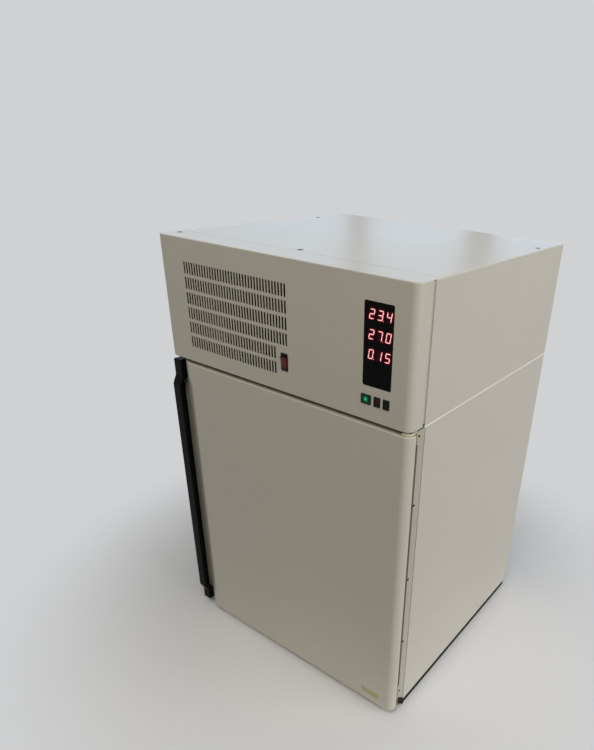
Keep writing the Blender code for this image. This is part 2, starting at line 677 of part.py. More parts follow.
def make_display(black, board):
    x = RIGHT - WINDOW_FROM_RIGHT - WINDOW_WIDTH / 2
    half = WINDOW_WIDTH / 2 - SEAT
    top = WINDOW_BOTTOM + WINDOW_HEIGHT
    behind = FRONT + COVER_SHEET + SEAT
    rear = FRONT + DISPLAY_DEPTH
    window = piece("display_window", box((x - half, FRONT, WINDOW_BOTTOM + SEAT),
                                         (x + half, behind + WINDOW_WALL, top - SEAT)), black)
    join(window, box((x - half - WINDOW_RIM, behind, WINDOW_BOTTOM - WINDOW_RIM),
                     (x + half + WINDOW_RIM, rear, top + WINDOW_RIM)))
    cut(window, box((x - half, behind + WINDOW_WALL, WINDOW_BOTTOM),
                    (x + half, rear + OVERSHOOT, top)))

    block_left = RIGHT - GREEN_BUTTON[0] - GREEN_BUTTON[1] / 2 - BUTTON_CLEARANCE
    block_right = RIGHT - BLACK_BUTTON[0] + BLACK_BUTTON[1] / 2 + BUTTON_CLEARANCE
    block_low = BUTTON_Z - BUTTON_HEIGHT / 2
    block_high = BUTTON_Z + BUTTON_HEIGHT / 2
    block = piece("button_block", box((block_left, FRONT + BUTTON_BLOCK_FRONT, block_low),
                                      (block_right, rear, block_high)), black)
    stem = BUTTON_STEM / 2 + BUTTON_CLEARANCE
    cut(block, together([box((RIGHT - from_right - stem, FRONT + BUTTON_BLOCK_FRONT - OVERSHOOT,
                              BUTTON_Z - stem),
                             (RIGHT - from_right + stem, rear + OVERSHOOT, BUTTON_Z + stem))
                         for from_right, width in (GREEN_BUTTON, RED_BUTTON, BLACK_BUTTON)]))

    piece("display_board", box((block_left - BOARD_RIM, rear + SEAT, block_low - BOARD_RIM),
                               (block_right + BOARD_RIM, rear + SEAT + BOARD, top + BOARD_RIM)), board)


def make_button(name, spec, finish):
    from_right, width = spec
    x = RIGHT - from_right
    cap_front = FRONT - BUTTON_PROUD
    axis = joint_axis(name + "_axis", (x, FRONT, BUTTON_Z), travel=BUTTON_TRAVEL)
    cap = piece(name, box((x - width / 2, cap_front, BUTTON_Z - BUTTON_HEIGHT / 2),
                          (x + width / 2, cap_front + BUTTON_CAP, BUTTON_Z + BUTTON_HEIGHT / 2)),
                finish, parent=axis)
    half = BUTTON_STEM / 2
    join(cap, box((x - half, cap_front + BUTTON_CAP / 2, BUTTON_Z - half),
                  (x + half, cap_front + BUTTON_CAP + BUTTON_STEM_LENGTH, BUTTON_Z + half)))


def make_rocker(black, red):
    x = LEFT + ROCKER_X
    half_x, half_z = ROCKER_WIDTH / 2, ROCKER_HEIGHT / 2
    inner_x = half_x - ROCKER_RIM - SEAT
    inner_z = half_z - ROCKER_RIM - SEAT
    flange_back = FRONT - SEAT
    bezel = piece("rocker_bezel", box((x - half_x, flange_back - ROCKER_FLANGE, ROCKER_Z - half_z),
                                      (x + half_x, flange_back, ROCKER_Z + half_z)), black)
    join(bezel, box((x - inner_x, flange_back - ROCKER_FLANGE / 2, ROCKER_Z - inner_z),
                    (x + inner_x, FRONT + ROCKER_BODY_DEPTH, ROCKER_Z + inner_z)))
    wall = ROCKER_RIM / 2
    hollow_x, hollow_z = inner_x - wall, inner_z - wall
    cut(bezel, box((x - hollow_x, flange_back - ROCKER_FLANGE - OVERSHOOT, ROCKER_Z - hollow_z),
                   (x + hollow_x, FRONT + ROCKER_BODY_DEPTH - ROCKER_RIM, ROCKER_Z + hollow_z)))

    pivot_y = FRONT + ROCKER_PIVOT_DEPTH
    axis = joint_axis("rocker_axis", (x, pivot_y, ROCKER_Z))
    reach = hollow_z - ROCKER_END_CLEARANCE
    crest = ROCKER_PIVOT_DEPTH + ROCKER_CREST
    tilt = ROCKER_THROW / 2
    drop = reach * math.tan(tilt)
    side = [(-crest, 0), (-crest - drop / 2, reach), (0, reach), (crest / 2, 0),
            (0, -reach), (-crest - drop / 2, -reach)]
    turned_side = [(y * math.cos(tilt) - z * math.sin(tilt), y * math.sin(tilt) + z * math.cos(tilt))
                   for y, z in side]
    width = hollow_x - BUTTON_CLEARANCE
    paddle = prism([(pivot_y + y, ROCKER_Z + z) for y, z in turned_side], "X", x - width, x + width)
    piece("rocker_paddle", paddle, red, origin=(x, pivot_y, ROCKER_Z), parent=axis)


def make_fan(prefix, place, turn, size, depth, blades, black, blade_finish):
    """Make a square fan housing and its rotor; the hub plate is at the far end of the axis."""
    bore = size / 2 - FAN_BORE_WALL
    plate = depth * FAN_PLATE_SHARE
    hub = bore * HUB_SHARE
    to_world = Matrix.Translation(place) @ turn

    def placed(shape):
        bmesh.ops.transform(shape, matrix=to_world, verts=shape.verts)
        return shape

    half = size / 2
    housing = piece(prefix + "_housing", placed(box((-half, -half, 0), (half, half, depth))), black)
    cut(housing, placed(rod(bore, -OVERSHOOT, depth - plate, SIDES_MEDIUM)))
    windows = []
    for start in (0, 90, 180, 270):
        near, far = WINDOW_ANGLES
        hub_near, hub_far = HUB_WINDOW_ANGLES
        outline = arc((0, 0), bore * WINDOW_SHARE, start + near, start + far)
        outline += arc((0, 0), hub, start + hub_far, start + hub_near, CORNER_STEPS // 2)
        windows.append(prism(outline, "Z", depth - plate - OVERSHOOT, depth + OVERSHOOT))
    cut(housing, placed(together(windows)))

    axis = joint_axis(prefix + "_axis", place)
    rotor_high = depth - plate - SEAT
    rotor = piece(prefix + "_rotor", placed(rod(hub, plate, rotor_high, SIDES_SMALL)),
                  blade_finish, origin=place, parent=axis)
    blade_middle = (plate + rotor_high) / 2
    chord = 2 * math.pi * bore / blades * BLADE_CHORD_SHARE
    half_thick = plate * BLADE_THICK_SHARE / 2
    tip = math.sqrt((bore - SHAFT_CLEARANCE) ** 2 - (chord / 2) ** 2)
    for i in range(blades):
        blade = box((hub * BLADE_ROOT_SHARE, -chord / 2, -half_thick), (tip, chord / 2, half_thick))
        pitch = math.atan2(depth * BLADE_RISE_SHARE, chord)
        matrix = (Matrix.Rotation(2 * math.pi * i / blades, 4, "Z")
                  @ Matrix.Translation((0, 0, blade_middle)) @ Matrix.Rotation(pitch, 4, "X"))
        bmesh.ops.transform(blade, matrix=matrix, verts=blade.verts)
        join(rotor, placed(blade))


def make_hood_contents(aluminium, black, grey, board):
    x = LEFT + SINK_X
    back = FRONT + SINK_FRONT + SINK_DEPTH
    base = back - SINK_BASE
    pitch = (SINK_WIDTH - SINK_FIN) / (SINK_FINS - 1)
    outline = [(x + SINK_WIDTH / 2, back), (x - SINK_WIDTH / 2, back)]
    for i in range(SINK_FINS):
        left = x - SINK_WIDTH / 2 + i * pitch
        outline += [(left, base), (left, FRONT + SINK_FRONT),
                    (left + SINK_FIN, FRONT + SINK_FRONT), (left + SINK_FIN, base)]
    piece("heat_exchanger", prism(outline, "Z", SEAM_Z, SEAM_Z + SINK_HEIGHT), aluminium)
    make_fan("cooling_fan", Vector((x, back + SEAT, SEAM_Z + FAN_SIZE / 2)),
             Matrix.Rotation(math.radians(-90), 4, "X"), FAN_SIZE, FAN_DEPTH, FAN_BLADES, black, grey)

    left = LEFT + SUPPLY_LEFT
    far = BACK - SHEET - SUPPLY_FROM_BACK
    piece("power_supply", box((left, far - SUPPLY_SIZE[1], SEAM_Z),
                              (left + SUPPLY_SIZE[0], far, SEAM_Z + SUPPLY_SIZE[2])), aluminium)

    right = RIGHT - CONTROL_FROM_RIGHT
    left = right - CONTROL_SIZE[0]
    far = BACK - CONTROL_FROM_BACK
    near = far - CONTROL_SIZE[1]
    control = piece("control_board", box((left, near, SEAM_Z + CONTROL_LEG),
                                         (right, far, SEAM_Z + CONTROL_LEG + BOARD)), board)
    leg = CONTROL_LEG_SIZE
    for leg_x in (left + leg, right - 2 * leg):
        for leg_y in (near + leg, far - 2 * leg):
            join(control, box((leg_x, leg_y, SEAM_Z),
                              (leg_x + leg, leg_y + leg, SEAM_Z + CONTROL_LEG + BOARD / 2)))


def make_door(paint, black, foam, stainless, rubber):
    axis = joint_axis("door_axis", (HINGE_X, HINGE_Y, 0))
    face_left = LEFT + FACE_LEFT
    flange_front = DOOR_BACK - DOOR_BACK_SKIN
    step = flange_front - FRONT
    right = RIGHT - DOOR_CORNER
    outer = [(RIGHT, DOOR_BACK)]
    outer += arc((right, FRONT + DOOR_CORNER), DOOR_CORNER, 0, -90)
    for i in range(CORNER_STEPS + 1):
        share = i / CORNER_STEPS
        depth = step * (1 - math.cos(math.pi * share)) / 2
        outer.append((face_left - FLANGE_RUN * share, FRONT + depth))
    outer.append((LEFT + FLANGE_LEFT, flange_front))
    outline = pan_outline(outer[::-1], SHEET)
    shell = piece("door_shell", prism(outline, "Z", DOOR_BOTTOM, DOOR_TOP), paint, parent=axis)
    step_back = face_left - FLANGE_RUN / 2
    closed = [point for point in outer if point[0] >= step_back]
    closed += [(closed[-1][0], DOOR_BACK)]
    join(shell, prism(closed, "Z", DOOR_BOTTOM, DOOR_BOTTOM + SHEET))
    join(shell, prism(closed, "Z", DOOR_TOP - SHEET, DOOR_TOP))
    pin_hole = HINGE_PIN_RADIUS + SLIDE_CLEARANCE
    for low in (DOOR_BOTTOM, DOOR_TOP - SHEET):
        cut(shell, moved(rod(pin_hole, low - OVERSHOOT, low + SHEET + OVERSHOOT), HINGE_X, HINGE_Y))

    liner_left = face_left + SHEET
    liner_right = HINGE_X - FOAM_SIDE
    liner_low, liner_high = DOOR_BOTTOM + SHEET + SEAT, DOOR_TOP - SHEET - SEAT
    skin_front = DOOR_BACK - DOOR_BACK_SKIN
    plug_low = (CHAMBER_LEFT + PLUG_CLEARANCE, DOOR_BACK - DOOR_BACK_SKIN / 2,
                CHAMBER_FLOOR + PLUG_CLEARANCE)
    plug_high = (CHAMBER_RIGHT - PLUG_CLEARANCE, PLUG_BACK, CHAMBER_CEILING - PLUG_CLEARANCE)
    liner = piece("door_liner", box((liner_left, skin_front, liner_low),
                                    (liner_right, DOOR_BACK, liner_high)), stainless, parent=axis)
    join(liner, box(plug_low, plug_high))
    wall = DOOR_BACK_SKIN
    cut(liner, box((plug_low[0] + wall, skin_front - OVERSHOOT, plug_low[2] + wall),
                   (plug_high[0] - wall, PLUG_BACK - wall, plug_high[2] - wall)))

    foam_low = (liner_left, FRONT + SHEET + SEAT, liner_low)
    foam_high = (liner_right, skin_front - SEAT, liner_high)
    filling = piece("door_insulation", box(foam_low, foam_high), foam, parent=axis)
    side = wall + SEAT
    join(filling, box((plug_low[0] + side, skin_front - SHEET, plug_low[2] + side),
                      (plug_high[0] - side, PLUG_BACK - side, plug_high[2] - side)))

    inner = GASKET_OFFSET
    outside = GASKET_OFFSET + GASKET_WIDTH
    gasket = piece("door_gasket",
                   box((CHAMBER_LEFT - outside, DOOR_BACK + SEAT, CHAMBER_FLOOR - outside),
                       (CHAMBER_RIGHT + outside, FRAME_FRONT - SEAT, CHAMBER_CEILING + outside)),
                   rubber, parent=axis)
    cut(gasket, box((CHAMBER_LEFT - inner, DOOR_BACK - OVERSHOOT, CHAMBER_FLOOR - inner),
                    (CHAMBER_RIGHT + inner, FRAME_FRONT + OVERSHOOT, CHAMBER_CEILING + inner)))
    make_handle(black, axis, flange_front)


def handle_section(x, width, front, back):
    """Return a bar's cross-section with small chamfers at its four edges."""
    b = HANDLE_BEVEL
    return [(x + b, front), (x + width - b, front), (x + width, front + b), (x + width, back - b),
            (x + width - b, back), (x + b, back), (x, back - b), (x, front + b)]


def make_handle(black, axis, flange_front):
    low = DOOR_BOTTOM + HANDLE_BOTTOM_GAP
    seat = flange_front - SEAT
    end = handle_section(LEFT + HANDLE_LEFT, HANDLE_WIDTH, FRONT, seat)
    grip_front = FRONT - HANDLE_PROUD
    grip = handle_section(LEFT + HANDLE_LEFT - HANDLE_SHIFT, HANDLE_WIDTH, grip_front,
                          grip_front + HANDLE_THICK)
    stations = [(low, end), (low + HANDLE_BOTTOM_END, end),
                (low + HANDLE_BOTTOM_END + HANDLE_SLOPE, grip),
                (DOOR_TOP - HANDLE_TOP_END - HANDLE_SLOPE, grip),
                (DOOR_TOP - HANDLE_TOP_END, end), (DOOR_TOP, end)]
    shape = bmesh.new()
    rings = [[shape.verts.new((x, y, z)) for x, y in section] for z, section in stations]
    shape.faces.new(rings[0])
    shape.faces.new(rings[-1])
    count = len(rings[0])
    for first, second in zip(rings, rings[1:]):
        for i in range(count):
            j = (i + 1) % count
            shape.faces.new((first[i], first[j], second[j], second[i]))
    bmesh.ops.recalc_face_normals(shape, faces=shape.faces)
    piece("door_handle", shape, black, parent=axis)


def make_hinges(cream, steel):
    plate_back = FRAME_FRONT - SEAT
    plate_front = plate_back - HINGE_PLATE_THICK
    right = RIGHT - FRAME_INSET
    arm_low = DOOR_TOP + HINGE_CLEARANCE
    arm_under = DOOR_BOTTOM - HINGE_CLEARANCE
    hinges = (("top", arm_low, arm_low + HINGE_ARM_THICK, arm_low - HINGE_PLATE_HEIGHT + HINGE_ARM_THICK,
               arm_low + HINGE_ARM_THICK, DOOR_TOP - HINGE_PIN_REACH, arm_low + HINGE_ARM_THICK),
              ("bottom", arm_under - HINGE_ARM_THICK, arm_under, arm_under - HINGE_ARM_THICK,
               HINGE_PLATE_LOW_TOP, arm_under - HINGE_ARM_THICK, DOOR_BOTTOM + HINGE_PIN_REACH))
    for name, low, high, plate_low, plate_high, pin_low, pin_high in hinges:
        bracket = piece("hinge_bracket_" + name,
                        box((right - HINGE_PLATE_WIDTH, plate_front, plate_low),
                            (right, plate_back, plate_high)), cream)
        join(bracket, box((right - HINGE_ARM_WIDTH, FRONT + HINGE_ARM_FRONT, low),
                          (right, plate_back, high)))
        cut(bracket, moved(rod(HINGE_PIN_RADIUS + SEAT, low - OVERSHOOT, high + OVERSHOOT),
                           HINGE_X, HINGE_Y))
        piece("hinge_pin_" + name, moved(rod(HINGE_PIN_RADIUS, pin_low, pin_high), HINGE_X, HINGE_Y),
              steel, smooth=True)


def make_carousel(aluminium, stainless, black):
    place = (CAROUSEL_X, CAROUSEL_Y, CHAMBER_FLOOR)
    axis = joint_axis("carousel_axis", place)
    low = CHAMBER_FLOOR + TURNTABLE_BOTTOM
    shaft_low = low - SHAFT_LENGTH
    profile = [(0, shaft_low), (SHAFT_RADIUS, shaft_low), (SHAFT_RADIUS, low),
               (TURNTABLE_RADIUS, low), (TURNTABLE_RADIUS, low + TURNTABLE_THICK),
               (0, low + TURNTABLE_THICK)]
    piece("turntable", moved(turned(profile, SIDES_LARGE), CAROUSEL_X, CAROUSEL_Y), aluminium,
          origin=place, parent=axis, smooth=True)

    facing = TOWARDS_CAROUSEL + math.pi

    def placed(shape):
        return moved(shape, CAROUSEL_X, CAROUSEL_Y)

    core = piece("carousel_core", placed(box((-CORE_HALF, -CORE_HALF, STACKER_BOTTOM),
                                             (CORE_HALF, CORE_HALF, STACKER_TOP))),
                 aluminium, origin=place, parent=axis, turn=facing)
    inner = CORE_HALF - CORE_WALL
    cut(core, placed(box((-inner, -inner, STACKER_BOTTOM - OVERSHOOT),
                         (inner, inner, STACKER_TOP + OVERSHOOT))))

    near, far = STACKER_NEAR, STACKER_NEAR + STACKER_DEPTH
    half = STACKER_OUTER / 2
    for number in range(STACKERS):
        turn = facing + number * 2 * math.pi / STACKERS
        stacker = piece("stacker_%d" % (number + 1),
                        placed(box((near, -half, STACKER_BOTTOM), (far, half, STACKER_TOP))),
                        stainless, origin=place, parent=axis, turn=turn)
        shelf = half - STACKER_WALL
        throat = shelf - STACKER_LEDGE_WIDTH
        floors = [STACKER_BOTTOM + STACKER_FLOOR]
        floors += [FIRST_LEDGE_TOP + level * STACKER_PITCH for level in range(STACKER_LEVELS)]
        ceilings = [ledge_top - STACKER_LEDGE for ledge_top in floors[1:]] + [STACKER_TOP + OVERSHOOT]
        cut(stacker, placed(together([box((near + STACKER_WALL, -shelf, bottom),
                                          (far + OVERSHOOT, shelf, top))
                                      for bottom, top in zip(floors, ceilings)])))
        cut(stacker, placed(box((near + STACKER_WALL, -throat, floors[0]),
                                (far + OVERSHOOT, throat, STACKER_TOP + OVERSHOOT))))

    half = MOTOR_SIZE / 2
    piece("carousel_motor", box((CAROUSEL_X - half, CAROUSEL_Y - half, PLINTH_WALL + SEAT),
                                (CAROUSEL_X + half, CAROUSEL_Y + half, shaft_low - SEAT)), black)


def make_handler(aluminium, steel, black):
    column = piece("lift_column", box((COLUMN_X - COLUMN_WIDTH, COLUMN_FRONT, COLUMN_BOTTOM),
                                      (COLUMN_X, COLUMN_BACK, COLUMN_TOP)), aluminium)
    cut(column, box((COLUMN_X - COLUMN_WIDTH - OVERSHOOT, COLUMN_FRONT - OVERSHOOT,
                     COLUMN_BOTTOM + COLUMN_END),
                    (COLUMN_X - COLUMN_WALL, COLUMN_BACK + OVERSHOOT, COLUMN_TOP - COLUMN_END)))
    screw_x = COLUMN_X - SCREW_FROM_WALL
    cut(column, moved(rod(SCREW_RADIUS + SLIDE_CLEARANCE, COLUMN_TOP - COLUMN_END - OVERSHOOT,
                          COLUMN_TOP + OVERSHOOT), screw_x, COLUMN_MIDDLE))

    inside_low = COLUMN_BOTTOM + COLUMN_END + SEAT
    inside_high = COLUMN_TOP - COLUMN_END - SEAT
    rod_x = COLUMN_X - ROD_FROM_WALL
    rods = (("guide_rod_front", COLUMN_MIDDLE - ROD_SPACING / 2),
            ("guide_rod_back", COLUMN_MIDDLE + ROD_SPACING / 2))
    for name, y in rods:
        piece(name, moved(rod(ROD_RADIUS, inside_low, inside_high), rod_x, y), steel, smooth=True)

    motor_low = CHAMBER_CEILING + LINER + OVERSHOOT
    screw_axis = joint_axis("lift_screw_axis", (screw_x, COLUMN_MIDDLE, inside_low))
    piece("lift_screw", moved(rod(SCREW_RADIUS, inside_low, motor_low - SEAT), screw_x, COLUMN_MIDDLE),
          steel, parent=screw_axis, smooth=True)
    half_x, half_y = LIFT_MOTOR[0] / 2, LIFT_MOTOR[1] / 2
    piece("lift_motor", box((screw_x - half_x, COLUMN_MIDDLE - half_y, motor_low),
                            (screw_x + half_x, COLUMN_MIDDLE + half_y, CABINET_TOP)), black)

    lift_axis = joint_axis("lift_axis", (rod_x, COLUMN_MIDDLE, ARM_Z), travel=LIFT_TRAVEL)
    block_right = COLUMN_X - COLUMN_WALL - CAROUSEL_SIDE_CLEARANCE
    block_left = block_right - CARRIAGE_WIDTH
    block_front = COLUMN_MIDDLE - CARRIAGE_DEPTH / 2
    block_back = COLUMN_MIDDLE + CARRIAGE_DEPTH / 2
    block_low = ARM_Z
    carriage = piece("lift_carriage", box((block_left, block_front, block_low),
                                          (block_right, block_back, block_low + CARRIAGE_HEIGHT)),
                     aluminium, parent=lift_axis)
    arm_back = PIVOT_Y + ARM_OVERHANG
    arm_left = PIVOT_X - ARM_WIDTH / 2
    arm_right = PIVOT_X + ARM_WIDTH / 2
    join(carriage, box((arm_left, block_back - ARM_THICK, ARM_Z),
                       (arm_right, arm_back, ARM_Z + ARM_THICK)))
    join(carriage, box((arm_left, block_front, block_low),
                       (block_left + ARM_THICK, block_back, ARM_Z + ARM_THICK)))
    bores = [moved(rod(ROD_RADIUS + SLIDE_CLEARANCE, block_low - ARM_THICK,
                       block_low + CARRIAGE_HEIGHT + OVERSHOOT), rod_x, y) for name, y in rods]
    bores.append(moved(rod(SCREW_RADIUS + SLIDE_CLEARANCE, block_low - ARM_THICK,
                           block_low + CARRIAGE_HEIGHT + OVERSHOOT), screw_x, COLUMN_MIDDLE))
    bores.append(moved(rod(TURRET_SHAFT + SLIDE_CLEARANCE, ARM_Z - OVERSHOOT,
                           ARM_Z + ARM_THICK + OVERSHOOT, SIDES_MEDIUM), PIVOT_X, PIVOT_Y))
    cut(carriage, together(bores))

    motor_right = block_right - SEAT
    piece("turret_motor", box((motor_right - TURRET_MOTOR[0], block_front - SEAT - TURRET_MOTOR[1],
                               block_low + SLIDE_CLEARANCE),
                              (motor_right, block_front - SEAT,
                               block_low + SLIDE_CLEARANCE + TURRET_MOTOR[2])),
          black, parent=lift_axis)

    turret_axis = joint_axis("turret_axis", (PIVOT_X, PIVOT_Y, ARM_Z), lift_axis)

    def placed(shape):
        return moved(shape, PIVOT_X, PIVOT_Y)

    profile = [(0, ARM_Z + SEAT), (TURRET_SHAFT, ARM_Z + SEAT), (TURRET_SHAFT, TURRET_Z),
               (TURRET_RADIUS, TURRET_Z), (TURRET_RADIUS, TURRET_RAIL_Z), (0, TURRET_RAIL_Z)]
    place = (PIVOT_X, PIVOT_Y, ARM_Z)
    turret = piece("turret", placed(turned(profile, SIDES_MEDIUM)), aluminium,
                   origin=place, parent=turret_axis, turn=TOWARDS_CAROUSEL)
    half = RAIL_LENGTH / 2
    join(turret, placed(box((-half, -TURRET_RAIL_WIDTH / 2, TURRET_RAIL_Z - OVERSHOOT),
                            (half, TURRET_RAIL_WIDTH / 2, TURRET_RAIL_Z + RAIL_THICK))))

    mid_axis = joint_axis("mid_slide_axis", place, turret_axis, SHOVEL_TRAVEL / 2)
    piece("mid_slide", placed(box((-half, -MID_RAIL_WIDTH / 2, MID_Z),
                                  (half, MID_RAIL_WIDTH / 2, MID_Z + RAIL_THICK))), steel,
          origin=place, parent=mid_axis, turn=TOWARDS_CAROUSEL)
    shovel_axis = joint_axis("shovel_axis", place, mid_axis, SHOVEL_TRAVEL / 2)
    shovel = piece("shovel", placed(box((-SHOVEL_LENGTH / 2, -SHOVEL_WIDTH / 2, SHOVEL_Z),
                                        (SHOVEL_LENGTH / 2, SHOVEL_WIDTH / 2, SHOVEL_TOP))),
                   aluminium, origin=place, parent=shovel_axis, turn=TOWARDS_CAROUSEL)
    join(shovel, placed(box((-half, -TAIL_WIDTH / 2, SHOVEL_Z),
                            (-SHOVEL_LENGTH / 2 + OVERSHOOT, TAIL_WIDTH / 2, SHOVEL_TOP))))


def make_gate(paint, aluminium, black):
    half = GATE_HALF
    housing_half = half + GATE_HOUSING_SIDE
    channel_low = GATE_Z - GATE_DOOR_LAP - SEAT
    channel_high = GATE_Z + GATE_HEIGHT + GATE_DOOR_LAP + GATE_TRAVEL + OVERSHOOT
    bottom = channel_low - GATE_HOUSING_FOOT
    top = channel_high + GATE_HOUSING_FOOT / 2
    channel_front = GATE_HOUSING_FRONT + GATE_CHANNEL_FRONT
    channel_back = channel_front + GATE_DOOR_THICK
    housing = piece("gate_housing", box((PIVOT_X - housing_half, GATE_HOUSING_FRONT, bottom),
                                        (PIVOT_X + housing_half, GATE_HOUSING_BACK, top)), paint)
    sleeve = SLEEVE_WALL
    join(housing, box((PIVOT_X - half - sleeve, CHAMBER_BACK, GATE_Z - sleeve),
                      (PIVOT_X + half + sleeve, GATE_HOUSING_FRONT + OVERSHOOT,
                       GATE_Z + GATE_HEIGHT + sleeve)))
    lap = GATE_DOOR_LAP
    cut(housing, box((PIVOT_X - half, CHAMBER_BACK - OVERSHOOT, GATE_Z),
                     (PIVOT_X + half, GATE_HOUSING_BACK + OVERSHOOT, GATE_Z + GATE_HEIGHT)))
    cut(housing, box((PIVOT_X - half - lap, channel_front, channel_low),
                     (PIVOT_X + half + lap, channel_back, channel_high)))

    door_half = half + lap - SEAT
    door_low = channel_low + SEAT
    axis = joint_axis("gate_axis", (PIVOT_X, (channel_front + channel_back) / 2, door_low),
                      travel=GATE_TRAVEL)
    piece("gate_door", box((PIVOT_X - door_half, channel_front + SEAT, door_low),
                           (PIVOT_X + door_half, channel_back - SEAT, GATE_Z + GATE_HEIGHT + lap)),
          aluminium, parent=axis)

    motor_left = PIVOT_X + housing_half + SEAT
    piece("gate_motor", box((motor_left, GATE_HOUSING_FRONT, GATE_Z + GATE_HEIGHT / 2),
                            (motor_left + GATE_MOTOR[0], GATE_HOUSING_FRONT + GATE_MOTOR[1],
                             GATE_Z + GATE_HEIGHT / 2 + GATE_MOTOR[2])), black)

    bed = PLATE_LENGTH / 2 + PLATE_PLAY
    near = GATE_HOUSING_BACK + SEAT
    far = near + STATION_LENGTH
    outer = bed + STATION_WALL
    base = STATION_LEDGE_Z - STATION_DROP
    station = piece("transfer_station", box((PIVOT_X - outer, near, base),
                                            (PIVOT_X + outer, far, STATION_LEDGE_Z + STATION_RIM)),
                    aluminium)
    cut(station, box((PIVOT_X - bed, near - OVERSHOOT, STATION_LEDGE_Z),
                     (PIVOT_X + bed, far - STATION_WALL, STATION_LEDGE_Z + STATION_RIM + OVERSHOOT)))
    throat = bed - STATION_LEDGE_WIDTH
    cut(station, box((PIVOT_X - throat, near - OVERSHOOT, base + STATION_BASE),
                     (PIVOT_X + throat, far + OVERSHOOT, STATION_LEDGE_Z + OVERSHOOT)))


def make_tray(stainless):
    right = CHAMBER_RIGHT - TRAY_FROM_RIGHT
    near = PLUG_BACK + TRAY_FROM_DOOR
    low = (right - TRAY_SIZE[0], near, CHAMBER_FLOOR + SEAT)
    high = (right, near + TRAY_SIZE[1], CHAMBER_FLOOR + SEAT + TRAY_SIZE[2])
    tray = piece("water_tray", box(low, high), stainless)
    cut(tray, box((low[0] + TRAY_WALL, low[1] + TRAY_WALL, low[2] + TRAY_WALL),
                  (high[0] - TRAY_WALL, high[1] - TRAY_WALL, high[2] + OVERSHOOT)))


def build():
    """Make the whole incubator."""
    for thing in list(bpy.data.objects):
        bpy.data.objects.remove(thing, do_unlink=True)

    paint = material("light grey paint", (0.62, 0.61, 0.57), 0.35)
    dark = material("black paint", (0.02, 0.02, 0.022), 0.5)
    plastic = material("black plastic", (0.015, 0.015, 0.017), 0.4)
    grey = material("grey plastic", (0.20, 0.20, 0.21), 0.5)
    cream = material("cream plastic", (0.72, 0.67, 0.55), 0.45)
    foam = material("insulating foam", (0.78, 0.74, 0.60), 0.9)
    rubber = material("gasket rubber", (0.03, 0.03, 0.03), 0.7)
    stainless = material("stainless steel", (0.60, 0.60, 0.60), 0.3, 1.0)
    aluminium = material("aluminium", (0.72, 0.73, 0.75), 0.35, 1.0)
    steel = material("bright steel", (0.55, 0.56, 0.58), 0.25, 1.0)
    board = material("circuit board", (0.02, 0.16, 0.06), 0.5)
    green = material("green button", (0.10, 0.55, 0.12), 0.35)
    dark_red = material("dark red button", (0.16, 0.02, 0.02), 0.4)
    red = material("red rocker", (0.30, 0.01, 0.02), 0.2)

    make_base(dark)
    make_cabinet(paint, foam, stainless, aluminium)
    make_hood(paint, dark)
    make_inlet(plastic)
    make_display(plastic, board)
    make_button("green_button", GREEN_BUTTON, green)
    make_button("dark_red_button", RED_BUTTON, dark_red)
    make_button("black_button", BLACK_BUTTON, plastic)
    make_rocker(plastic, red)
    make_hood_contents(aluminium, plastic, grey, board)
    make_fan("chamber_fan", Vector((CAROUSEL_X, CAROUSEL_Y, CHAMBER_CEILING - CHAMBER_FAN_DEPTH - SEAT)),
             Matrix.Identity(4), CHAMBER_FAN_SIZE, CHAMBER_FAN_DEPTH, CHAMBER_FAN_BLADES, plastic, grey)
    make_door(paint, plastic, foam, stainless, rubber)
    make_hinges(cream, steel)
    make_carousel(aluminium, stainless, plastic)
    make_handler(aluminium, steel, plastic)
    make_gate(paint, aluminium, plastic)
    make_tray(stainless)


build()
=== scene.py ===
# %% [markdown]
# # An automated plate incubator
#
# A lesson in dressing an engineering model. The solids of the incubator come in as a fixed frame: they
# give the true sizes, and they move on their joints. This script adds what the eye needs: folded sheet
# steel with round bends, punched slots, a lit display, moulded plastic and believable paint.
#
# ## Load the frame
#
# Everything is placed by the frame's own sizes.

# %% Load the frame
import math

import bmesh
import bpy
from mathutils import Matrix, Vector


